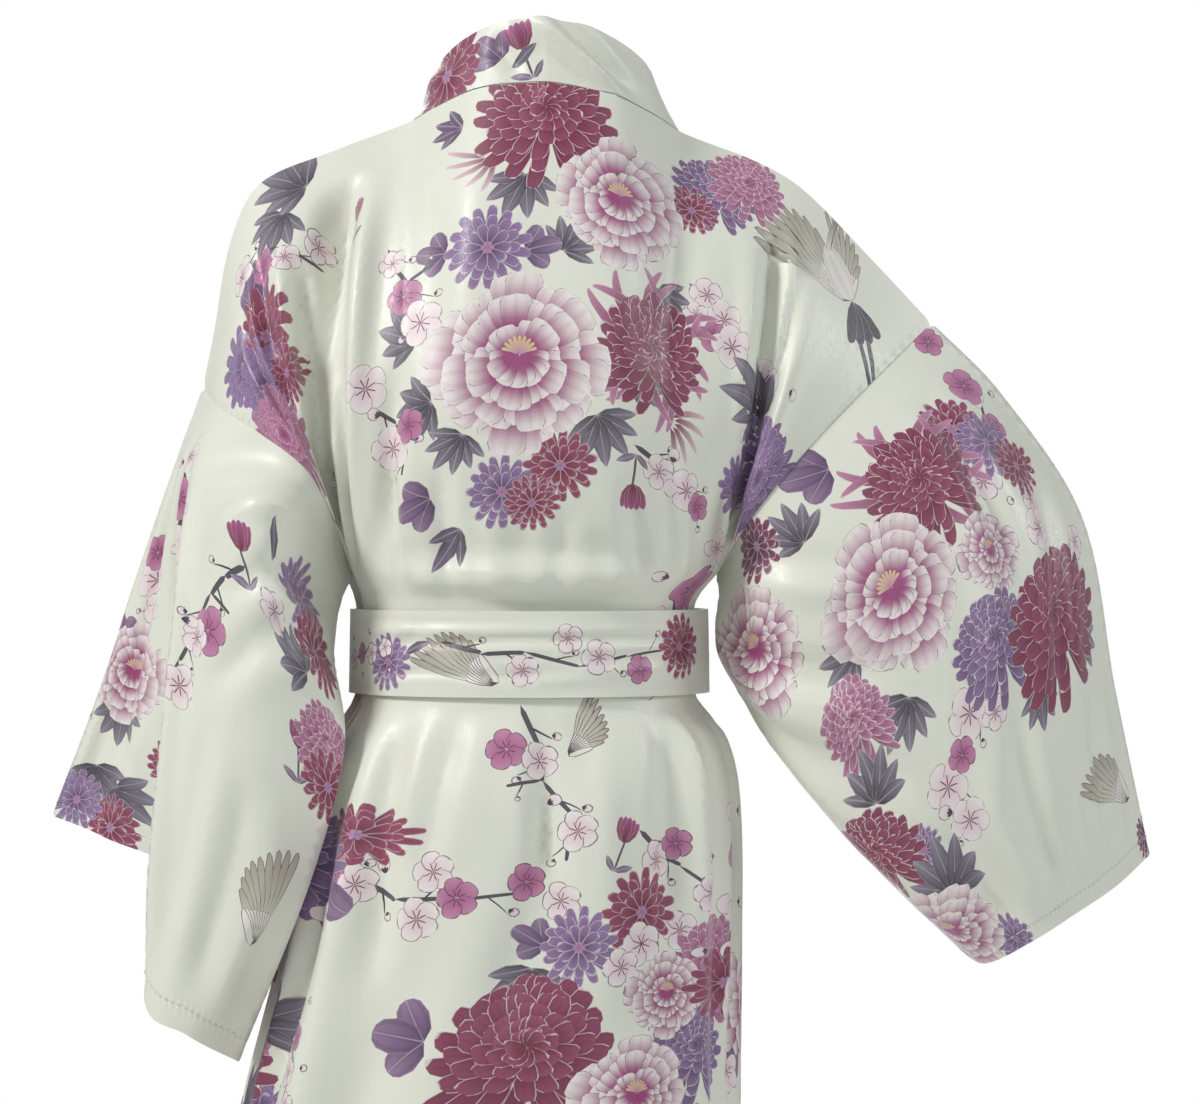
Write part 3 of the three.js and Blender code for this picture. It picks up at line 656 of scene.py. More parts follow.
def leaves(x, y, turn, size, count=5, spread=1.9, tone=SLATE, tip=GREY):
    """A fan of leaves from one point."""
    rows = []
    for i in range(count):
        k = (i / max(count - 1, 1) - 0.5) * 2
        length = size * (1 - 0.28 * abs(k)) * (1 + 0.08 * wobble(i + size))
        rows += leaf(x, y, turn + k * spread / 2, length, tone, tip, bend=0.10 * k)
    return rows


def mum_leaf(x, y, turn, size, tone=PURPLE, tip=GREY):
    """A chrysanthemum's lobed leaf: three rounded lobes."""
    rows = []
    for k, reach in ((-0.75, 0.75), (0.75, 0.75), (0, 1.0)):
        rows.append(petal(x, y, turn + k, size * reach, size * 0.27, tone, tip, 0.08 * k,
                          a=0.6, b=0.45, ink=-0.15, vein=0.8))
    return rows


print("petals: fan of leaves", len(leaves(0, 0, 0, 30)))

# %% Chrysanthemums


def mum(x, y, size, dark=BURGUNDY, light=ROSE, lean=0.25, down=-math.pi / 2, hook=0.25, rings=6):
    """Rings of petals from the rim to the heart, longer towards one side; pale edges, dark bases."""
    rows = []
    for ring in range(rings):
        k = 1 - ring / rings
        count = int(9 + 11 * k)
        for i in range(count):
            turn = 2 * math.pi * (i + 0.5 * (ring % 2)) / count + 0.05 * wobble(i + ring)
            reach = size * (0.18 + 0.82 * k) * (1 + lean * math.cos(turn - down) * k)
            reach *= 1 + 0.07 * wobble(3 * i + ring, 2)
            start = polar(x, y, reach * 0.34 * min(1, max(0, 2 * k - 0.33)), turn)
            side = hook * (1 if math.sin(turn - down) > 0 else -1) * (0.6 + 0.4 * wobble(i, 3))
            tip = tuple(c * (0.82 + 0.30 * (1 - k)) for c in light)
            rows.append(petal(*start, turn, reach * 0.68, size * 0.125, dark, tip, side,
                              a=0.6, b=0.26, ink=-0.75, vein=0.4, rim=0.5))
    return rows


def spider_mum(x, y, size, dark=BURGUNDY, light=ROSE):
    """A burgundy chrysanthemum whose outer petals are long and hooked."""
    rows = []
    for i in range(20):
        turn = 2 * math.pi * i / 20 + 0.12 * wobble(i, 2)
        start = polar(x, y, size * 0.45, turn)
        bend = 0.55 * (1 if i % 3 else -1)
        reach = size * (0.68 + 0.12 * wobble(i, 5))
        rows.append(petal(*start, turn, reach, size * 0.085, dark, PINK, bend,
                          a=0.35, b=0.3, ink=-0.6, vein=0.3))
    return rows + mum(x, y, size * 0.86, dark, light, lean=0.12, hook=0.5)


def small_mum(x, y, size, dark=BURGUNDY, light=ROSE, heart=LILAC):
    """A daisy-like chrysanthemum: three flat rings and a pale button in the middle."""
    rows = []
    for ring, (reach, count) in enumerate(((1.0, 15), (0.78, 13), (0.52, 10))):
        for i in range(count):
            turn = 2 * math.pi * (i + 0.5 * (ring % 2)) / count + 0.06 * wobble(i + 7 * ring)
            length = size * reach * (1 + 0.07 * wobble(i, 2))
            rows.append(petal(*polar(x, y, size * 0.08, turn), turn, length, size * 0.14, dark, light,
                              a=0.7, b=0.28, ink=-0.5, vein=0.5))
    for i in range(6):
        turn = math.pi * i / 3
        rows.append(petal(x, y, turn, size * 0.17, size * 0.06, heart, PINK, ink=0.2, a=0.4, b=0.4))
    return rows


print("petals: chrysanthemum", len(mum(0, 0, 40)), "small one", len(small_mum(0, 0, 20)))

# %% Peony


def ruffled(x, y, turn, length, base, tip, spread, lobes=4, ink=0.8):
    """One peony petal: narrow lobes side by side, so that its rim is scalloped."""
    rows = []
    order = sorted(range(lobes), key=lambda i: -abs(i - (lobes - 1) / 2))
    for i in order:
        k = (i - (lobes - 1) / 2) / max((lobes - 1) / 2, 1)
        reach = length * (1 - 0.12 * k * k + 0.05 * wobble(i + turn))
        rows.append(petal(x, y, turn + k * spread, reach, length * 0.30, base, tip, 0.06 * k,
                          a=0.85, b=0.24, ink=ink, vein=0.4, rim=1.0))
    return rows


def peony(x, y, size, base=(0.34, 0.06, 0.20), tip=WHITE, down=-math.pi / 2):
    """Three rings of ruffled petals, pale at the rim and deep pink inside, round yellow stamens."""
    rows = []
    for ring, (reach, count, near) in enumerate(((1.0, 8, 0.30), (0.78, 7, 0.18), (0.52, 5, 0.06))):
        for i in range(count):
            turn = down + 2 * math.pi * (i + 0.5 * ring) / count + 0.2 * wobble(i + 5 * ring)
            start = polar(x, y, size * near, turn)
            length = size * (reach - near) * (1 + 0.16 * wobble(i + ring, 4))
            rows += ruffled(*start, turn, length, base, tip, 0.40)
    hx, hy = polar(x, y, size * 0.12, down + math.pi)
    for i in range(9):
        turn = down + math.pi + (i - 4) * 0.32
        rows.append(petal(hx, hy, turn, size * 0.2, size * 0.022, PINK, YELLOW, ink=0.1, a=0.3, b=0.2))
    for i in range(5):
        turn = down + (i - 2) * 0.5
        rows += ruffled(*polar(hx, hy, size * 0.02, turn), turn, size * 0.36, base, tip, 0.3, lobes=3)
    return rows


print("petals: peony", len(peony(0, 0, 40)))

# %% Plum blossom and buds


def plum(x, y, size, tone=WHITE, heart=BLUSH, turn=0.0):
    """Five round petals with a thin dark outline, and stamens."""
    rows = []
    for i in range(5):
        way = turn + 2 * math.pi * i / 5
        rows.append(petal(*polar(x, y, size * 0.06, way), way, size * 0.92, size * 0.5, heart, tone,
                          a=0.5, b=0.42, ink=0.9))
    for i in range(8):
        way = turn + math.pi * i / 4 + 0.3
        rows.append(petal(x, y, way, size * 0.45, size * 0.025, PLUM, DARK, ink=0.0, a=0.2, b=0.2))
    return rows


def bud(x, y, turn, size, tone=WHITE):
    """A round plum bud in its dark cup."""
    rows = [petal(x, y, turn, size, size * 0.48, BLUSH, tone, a=0.5, b=0.45, ink=0.9)]
    return rows + [petal(x, y, turn + k, size * 0.42, size * 0.1, DARK, SLATE, ink=0.0)
                   for k in (-0.6, 0.0, 0.6)]


def red_bud(x, y, turn, size):
    """A half-open peony bud with its stem and two leaves."""
    sx, sy = polar(x, y, size * 1.1, turn + math.pi)
    rows = [petal(sx, sy, turn, size * 1.2, size * 0.045, BARK, BARK, 0.05, a=0.1, b=0.1, ink=0.0)]
    rows += leaf(sx, sy, turn + 1.0, size * 0.8, GREY, LILAC) + leaf(sx, sy, turn - 0.9, size * 0.7, GREY)
    for k in (-0.62, 0.62, -0.3, 0.3, 0.0):
        rows.append(petal(x, y, turn + k, size, size * 0.2, BURGUNDY, MAGENTA, -0.25 * k,
                          a=0.6, b=0.6, ink=-0.25, vein=0.5))
    return rows


print("petals: plum blossom", len(plum(0, 0, 12)), "bud", len(bud(0, 0, 0, 9)))

# %% Branches


def branch(points, thick=2.2, tone=BARK):
    """A chain of tapering strips through points, a little crooked, with a knot at each joint."""
    rows = []
    for i, ((x0, y0), (x1, y1)) in enumerate(zip(points[:-1], points[1:])):
        turn = math.atan2(y1 - y0, x1 - x0)
        length = math.hypot(x1 - x0, y1 - y0) * 1.04
        wide = 0.72 * thick * (1 - 0.6 * i / max(len(points) - 1, 1))
        rows.append(petal(x0, y0, turn, length, wide, tone, SLATE, 0.07 * wobble(i + x0),
                          a=0.10, b=0.12, ink=0.3, vein=0.35))
        way = turn + (0.8 if i % 2 else -0.8) + 0.3 * wobble(i + y0, 2)
        mid = polar(x0, y0, length * 0.55, turn)
        rows.append(petal(*mid, way, thick * 5.5, wide * 0.4, DARK, tone, 0.15, a=0.1, b=0.3, ink=0.0))
        rows += bud(*polar(*mid, thick * 5.2, way), way, thick * 2.2)
    return rows


# %% Cranes


def wing(x, y, turn, size, spread=0.75, feathers=9):
    """A crane's flight feathers: long narrow strips in thin outline."""
    rows = []
    for i in range(feathers):
        k = i / (feathers - 1) - 0.5
        reach = size * (1 - 0.5 * (k + 0.5) ** 2)
        rows.append(petal(*polar(x, y, size * 0.12 * abs(k), turn), turn + k * spread, reach,
                          size * 0.052, CREAM, (0.40, 0.36, 0.30), 0.16, a=0.18, b=0.3, ink=0.9))
    for i in range(feathers):
        k = i / (feathers - 1) - 0.5
        rows.append(petal(x, y, turn + k * spread * 1.1, size * 0.36, size * 0.045, CREAM, WHITE, 0.1,
                          a=0.25, b=0.3, ink=1.0))
    return rows


def crane(x, y, turn, size):
    """A crane in flight: its legs point along turn, and both wings and the neck lead away from them."""
    rows = [petal(*polar(x, y, size * 0.1, turn + k), turn - 0.12 * k, size * 0.62, size * 0.018,
                  SLATE, SLATE, 0.03, a=0.1, b=0.1, ink=0.0) for k in (-0.5, 0.5)]
    rows += wing(x, y, turn + 3.5, size * 0.5, 0.6, 7) + wing(x, y, turn + 2.5, size * 0.8)
    for k in (-0.5, -0.2, 0.1, 0.4):
        rows.append(petal(x, y, turn + k, size * 0.3, size * 0.05, SLATE, DARK, ink=-0.3, vein=0.4))
    rows.append(petal(x, y, turn + 2.9, size * 0.34, size * 0.12, WHITE, CREAM, 0.1, a=0.5, b=0.5,
                      ink=0.9, vein=0.5))
    nx, ny = polar(x, y, size * 0.28, turn + 2.95)
    rows.append(petal(nx, ny, turn - 2.6, size * 0.3, size * 0.022, WHITE, OLIVE, 0.5, a=0.1, b=0.2,
                      ink=0.9))
    return rows


print("petals: crane", len(crane(0, 0, 0, 90)))

# %% [markdown]
# ## Cutting a panel with its print
#
# A print has crisp edges, and smooth satin hides no blurred one, so the print is cut into the panel's
# own mesh. First all petals go through a constrained triangulation and the topmost petal of each
# triangle is found. Then only the edges at which the topmost petal changes are kept, together with an
# even net of points that lets the panel bend, and the panel is triangulated once more.

# %% An even net of points


def inside(points, polygon):
    """Even-odd rule: a point is inside if a ray from it crosses the polygon an odd number of times."""
    x, y = points[:, 0][:, None], points[:, 1][:, None]
    x0, y0 = polygon[:, 0][None], polygon[:, 1][None]
    x1, y1 = np.roll(x0, -1, axis=1), np.roll(y0, -1, axis=1)
    crosses = (y0 > y) != (y1 > y)
    with np.errstate(divide="ignore", invalid="ignore"):
        at = x0 + (y - y0) * (x1 - x0) / (y1 - y0)
    return np.sum(crosses & (x < at), axis=1) % 2 == 1


def even_net(border, gap):
    """Points of a triangular net inside the border, none nearer to it than half a gap."""
    low, high = border.min(axis=0), border.max(axis=0)
    xs, ys = (np.arange(low[i] + gap * 0.5, high[i], gap * (1, 0.87)[i]) for i in (0, 1))
    x, y = np.meshgrid(xs, ys)
    x = x + (np.arange(len(ys)) % 2)[:, None] * gap * 0.5
    points = np.stack([x.ravel(), y.ravel()], axis=1)
    points = points[inside(points, border)]
    away = np.full(len(points), np.inf)
    for part in np.array_split(border, max(1, len(border) // 60)):
        d = points[:, None] - part[None]
        away = np.minimum(away, np.sqrt((d**2).sum(axis=2)).min(axis=1))
    return points[away > gap * 0.45]


sample = np.array([(0, 0), (100, 0), (100, 50), (0, 50)], float)
print("points of an 8 mm net over 100 x 50 mm:", len(even_net(sample, 8.0)))

# %% Flat triangulation


def triangulate(border, points, edges, faces=()):
    """Triangles of border and points, with the faces each lies in and the input of each point.

    The border is the first face, and a triangle that doesn't lie in it is outside the panel.
    """
    every = [Vector(p) for p in np.concatenate([border, points]).tolist()]
    result = delaunay_2d_cdt(every, edges, [list(range(len(border))), *faces], 0, 1e-4)
    flat = np.array([tuple(v) for v in result[0]])
    return flat, np.array(result[2]), result[5], result[3]


def chain(first, count):
    """Edges from point to point along a line of count points."""
    return [[i, i + 1] for i in range(first, first + count - 1)]


def rim_of(tris):
    """The directed edges that belong to one triangle only."""
    sides = np.concatenate([tris[:, [0, 1]], tris[:, [1, 2]], tris[:, [2, 0]]])
    _, first, count = np.unique(np.sort(sides, axis=1), axis=0, return_index=True, return_counts=True)
    return sides[first[count == 1]]


flat, tris, _, _ = triangulate(sample, even_net(sample, 8.0), [])
print("its triangles:", len(tris), "and its rim edges:", len(rim_of(tris)))

# %% Cutting the print


def topmost(middles, shapes):
    """Number of the last printed petal over each triangle's middle, counted from 1, or 0 for none."""
    order = np.argsort(middles[:, 0])
    lows, highs = shapes.min(axis=1), shapes.max(axis=1)
    starts = np.searchsorted(middles[order, 0], lows[:, 0])
    ends = np.searchsorted(middles[order, 0], highs[:, 0])
    top = np.zeros(len(middles), int)
    for i, shape in enumerate(shapes):
        near = order[starts[i] : ends[i]]
        near = near[(middles[near, 1] > lows[i, 1]) & (middles[near, 1] < highs[i, 1])]
        top[near[inside(middles[near], shape)]] = i + 1
    return top


def cut_panel(border, rows, gap, spine):
    """(points, triangles, topmost petal of each triangle) of a panel in its flat pattern."""
    n, each = len(border), 2 * STEPS
    shapes = outlines(rows)
    faces = [list(range(n + i * each, n + (i + 1) * each)) for i in range(len(rows))]
    flat, tris, owners, _ = triangulate(border, shapes.reshape(-1, 2), [], faces)
    top = np.array([max(o) if o and min(o) == 0 else -1 for o in owners])
    sides = np.sort(np.concatenate([tris[:, [0, 1]], tris[:, [1, 2]], tris[:, [2, 0]]]), axis=1)
    tops = np.tile(top, 3)
    order = np.lexsort((sides[:, 1], sides[:, 0]))
    sides, tops = sides[order], tops[order]
    pair = np.all(sides[1:] == sides[:-1], axis=1)
    kept = sides[1:][pair & (tops[1:] != tops[:-1])]
    used, edges = np.unique(kept, return_inverse=True)
    points = np.concatenate([flat[used], spine, even_net(border, gap)])
    edges = (edges.reshape(-1, 2) + n).tolist() + chain(n + len(used), len(spine))
    flat, tris, owners, _ = triangulate(border, points, edges)
    tris = tris[[len(o) > 0 for o in owners]]
    return flat, tris, topmost(flat[tris].mean(axis=1), shapes)


# %% [markdown]
# ## Laying a panel on the body
#
# Every panel is closed like real cloth with a thickness: an outer face with the print, an inner face
# with fewer triangles, and a narrow rim that joins the two along the cut edge. The corners of the outer
# face carry the print: the place within the petal, its ink and its colour. The normals come from the
# form's own formula, so that the many thin triangles of the print don't show in the satin.

# %% A piece of the coat


def piece_of(name, mesh):
    """A new object for a finished mesh, riding the coat's one body."""
    piece = bpy.data.objects.new(name, mesh)
    scene.collection.objects.link(piece)
    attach(piece, "root")
    print(f"{name}: {len(mesh.polygons)} faces")
    return piece


# %% The print on a panel's corners
GROUND, INNER = (0.75, 0.768, 0.675), (0.70, 0.715, 0.63)  # the satin's colour outside and inside
BARE = (0, 90, 0)  # the place in a petal that stands for none: far from any outline


def print_attributes(flat, tris, top, rows):
    """Per corner: (across, half width, along) in the petal, (ink, vein, printed) and the colour."""
    corner, owner = flat[tris.ravel()], np.repeat(top, 3)
    row = rows[np.maximum(owner - 1, 0)]
    dx, dy = corner[:, 0] - row[:, 0], corner[:, 1] - row[:, 1]
    cos, sin = np.cos(row[:, 2]), np.sin(row[:, 2])
    length, width, bend, a, b, ink, vein = row[:, 3:10].T
    rim = row[:, 16]
    t = (dx * cos + dy * sin) / length
    across = dy * cos - dx * sin - bend * length * t**2
    half = half_width(t, width, a, b)
    ink = ink * (1 - rim + rim * smooth(0.4, 0.8, t))
    shade = t + (smooth(0.42, 1.0, t) - t) * rim
    tint = row[:, 10:13] + (row[:, 13:16] - row[:, 10:13]) * np.clip(shade, 0, 1)[:, None]
    bare = owner == 0
    petal_at = np.stack([across, half, t], axis=1)
    petal_at[bare] = BARE
    inks = np.stack([ink, vein, ink * 0 + 1], axis=1)
    inks[bare] = 0
    tint[bare] = GROUND
    return petal_at, inks, np.concatenate([tint, np.ones((len(tint), 1))], axis=1)


# %% The inner face and the normals
INNER_GAP = 1.4  # the inner face's net, as a share of the outer one's


def inner_face(border, flat, rim, spine, gap):
    """An even triangulation behind a panel, with the same points along the cut edge.

    Returns its points, its triangles, and which of its points is the twin of each rim point.
    """
    ids = np.unique(rim)
    index = np.zeros(len(flat), int)
    index[ids] = np.arange(len(ids)) + len(border)
    points = np.concatenate([flat[ids], spine, even_net(border, gap)])
    edges = index[rim].tolist() + chain(len(border) + len(ids), len(spine))
    back, tris, owners, sources = triangulate(border, points, edges)
    twin = np.zeros(len(border) + len(points), int)
    twin[[i for given in sources for i in given]] = [k for k, given in enumerate(sources) for _ in given]
    return back, tris[[len(o) > 0 for o in owners]], twin[index]


def form_normal(surface, at):
    """Cross product of the form's steps along x and along y."""
    x, y, none = at[:, 0], at[:, 1], np.zeros(len(at))
    along_x = surface(x + 1, y, none) - surface(x - 1, y, none)
    along_y = surface(x, y + 1, none) - surface(x, y - 1, none)
    return unit(np.cross(along_x, along_y))


# %% What the corners store
FAR = 999.0  # mm from a hem, on pieces without one


def write_corners(mesh, outer, cut, hem):
    """Store the print on the outer face's corners, plain satin on the others and the cut on all."""
    at_petal, inks, tint = outer
    rest = len(cut) - len(tint)
    plain = np.concatenate([np.tile(INNER, (rest, 1)), np.ones((rest, 1))], axis=1)
    edge = np.full(len(cut), FAR) if hem is None else hem(cut[:, 0], cut[:, 1])
    for title, kind, field, values in (
        ("petal", "FLOAT_VECTOR", "vector", np.concatenate([at_petal, np.tile(BARE, (rest, 1))])),
        ("ink", "FLOAT_VECTOR", "vector", np.concatenate([inks, np.zeros((rest, 3))])),
        ("cut", "FLOAT_VECTOR", "vector", np.concatenate([cut, edge[:, None]], axis=1)),
        ("tint", "FLOAT_COLOR", "color", np.concatenate([tint, plain])),
    ):
        layer = mesh.attributes.new(title, kind, "CORNER")
        layer.data.foreach_set(field, values.astype(np.float32).ravel())


# %% The panel builder


def lay_panel(name, border, rows, surface, wall, gap=8.0, hem=None, spine=np.zeros((0, 2))):
    """A closed panel: surface(x, y, rise) places it in mm, wall(x, y) is its thickness there.

    spine is a line of points along which the panel is pressed sharp, as at a sleeve's top.
    """
    flat, tris, top = cut_panel(border, rows, gap, spine)
    rim = rim_of(tris)
    back, back_tris, twin = inner_face(border, flat, rim, spine, gap * INNER_GAP)
    i, j = rim.T
    quads = np.stack([j, i, twin[i] + len(flat), twin[j] + len(flat)], axis=1)
    back_tris = back_tris[:, ::-1]

    outer = surface(flat[:, 0], flat[:, 1], np.zeros(len(flat)))
    inner = surface(back[:, 0], back[:, 1], -wall(back[:, 0], back[:, 1]))
    n_outer, n_inner = form_normal(surface, flat), form_normal(surface, back)
    lift = surface(flat[:, 0], flat[:, 1], np.ones(len(flat))) - outer
    if np.mean(np.sum(n_outer * lift, axis=1)) < 0:
        n_outer, n_inner = -n_outer, -n_inner
        tris, back_tris, quads = tris[:, ::-1], back_tris[:, ::-1], quads[:, ::-1]

    places = np.concatenate([outer, inner]) * METRES
    mesh = bpy.data.meshes.new(name)
    faces = tris.tolist() + (back_tris + len(flat)).tolist() + quads.tolist()
    mesh.from_pydata(places.tolist(), [], faces)
    mesh.shade_smooth()
    q = places[quads]
    n_rim = unit(np.cross(q[:, 2] - q[:, 0], q[:, 3] - q[:, 1]))
    normals = [n_outer[tris.ravel()], -n_inner[back_tris.ravel()], np.repeat(n_rim, 4, axis=0)]
    mesh.normals_split_custom_set(np.concatenate(normals).tolist())

    corners = np.concatenate([tris.ravel(), (back_tris + len(flat)).ravel(), quads.ravel()])
    cut = np.concatenate([flat, back])[corners]
    write_corners(mesh, print_attributes(flat, tris, top, rows), cut, hem)
    return piece_of(name, mesh)


# %% A panel's border and its print


def rectangle(left, low, right, high, step=6.0):
    """Points about every step mm along the sides of a rectangle, counter-clockwise."""
    corners = (left, low), (right, low), (right, high), (left, high)
    sides = []
    for (x0, y0), (x1, y1) in zip(corners, corners[1:] + corners[:1]):
        count = max(1, round(math.hypot(x1 - x0, y1 - y0) / step))
        k = np.arange(count) / count
        sides.append(np.stack([x0 + (x1 - x0) * k, y0 + (y1 - y0) * k], axis=1))
    return np.concatenate(sides)


def settle(rows, x, y, surface):
    """Scale a motif about (x, y), so that it isn't stretched where the form stretches the pattern.

    The scales are 1 / (length on the form of a step of 1 mm) along x and along y.
    """
    rows = np.array(rows, float)
    at_x, at_y = x + np.array([-5.0, 5, 0, 0]), y + np.array([0, 0, -5.0, 5])
    p = surface(at_x, at_y, np.zeros(4))
    a = np.clip(10 / np.linalg.norm(p[1] - p[0]), 0.5, 2.2)
    b = np.clip(10 / np.linalg.norm(p[3] - p[2]), 0.5, 2.2)
    cos, sin = np.cos(rows[:, 2]), np.sin(rows[:, 2])
    rows[:, 0] = x + (rows[:, 0] - x) * a
    rows[:, 1] = y + (rows[:, 1] - y) * b
    rows[:, 2] = np.arctan2(sin * b, cos * a)
    stretch = np.hypot(cos * a, sin * b)
    rows[:, 3] *= stretch
    rows[:, 4] *= a * b / stretch
    return rows


def printed(surface, table):
    """One array of petals from a table of motifs: maker, x, distance down, then its own numbers."""
    rows = []
    for maker, *numbers in table:
        if maker is branch:
            rows.append(np.array(branch([(x, -down) for x, down in numbers[0]], *numbers[1:])))
        else:
            x, down, *rest = numbers
            rows.append(settle(maker(x, -down, *rest), x, -down, surface))
    return np.concatenate(rows)


# %% [markdown]
# ## Where the motifs are
#
# The print is laid out panel by panel on the flat pattern, x to the wearer's left from the middle and
# down from the nape. Leaves come first, then branches and blossom, and the large flowers on top. The
# dense groups lie at the shoulders, in a diagonal over the back and in a second one over the skirt,
# with plain satin between them.

# %% Named colours of the flowers
purple_mum = partial(mum, dark=PURPLE, light=LILAC)
rose_mum = partial(mum, dark=PLUM, light=PINK)
violet_mum = partial(small_mum, dark=PURPLE, light=LILAC)
pink_plum = partial(plum, tone=PINK, heart=MAGENTA)
dark_leaves = partial(leaves, count=6, spread=2.3, tone=DARK, tip=(0.27, 0.25, 0.31))
grey_leaves = partial(mum_leaf, tone=PURPLE, tip=(0.30, 0.20, 0.32))


def hooks(x, y, size, turn=0.0):
    """A few curled burgundy petals that stand free of a flower."""
    return [petal(*polar(x, y, size * 0.2, turn + k), turn + k, size, size * 0.11, BURGUNDY, BLUSH,
                  0.5, a=0.4, b=0.3, ink=-0.6, vein=0.3) for k in (-1.1, -0.7, -0.3, 0.1, 0.5)]


def spray(x, y, size, turn=0.0, tone=WHITE):
    """A crooked plum twig with blossoms and buds."""
    ends = [(x, y)]
    for i in range(3):
        ends.append(polar(*ends[-1], size * 0.55, turn + 0.5 * (-1) ** i))
    rows = branch(ends, size * 0.035)
    for i, (bx, by) in enumerate(ends):
        side = polar(bx, by, size * 0.17, turn + 1.3 * (-1) ** i)
        rows += plum(*side, size * (0.2 + 0.03 * wobble(i)), *((PINK, MAGENTA) if i % 3 == 1 else (tone,)))
        rows += bud(*polar(bx, by, size * 0.2, turn - 1.4 * (-1) ** i), turn - 1.4 * (-1) ** i, size * 0.12)
    return rows


def bouquet(x, y, size, kind=0):
    """A full group: dark leaves, a large flower, and small chrysanthemums at its foot."""
    big = (peony, purple_mum, mum, rose_mum)[kind % 4]
    side = 1 if kind % 2 else -1
    rows = dark_leaves(x + side * size * 0.5, y + size * 0.5, 1.2 - 0.9 * side, size * 0.8)
    rows += grey_leaves(x - side * size * 0.6, y - size * 0.4, -2.2 + 0.8 * side, size * 0.7)
    rows += small_mum(x - side * size * 0.85, y + size * 0.35, size * 0.42)
    rows += violet_mum(x + side * size * 0.75, y - size * 0.55, size * 0.38)
    rows += big(x, y, size * 0.8)
    return rows + plum(x - side * size * 0.55, y - size * 0.85, size * 0.24)


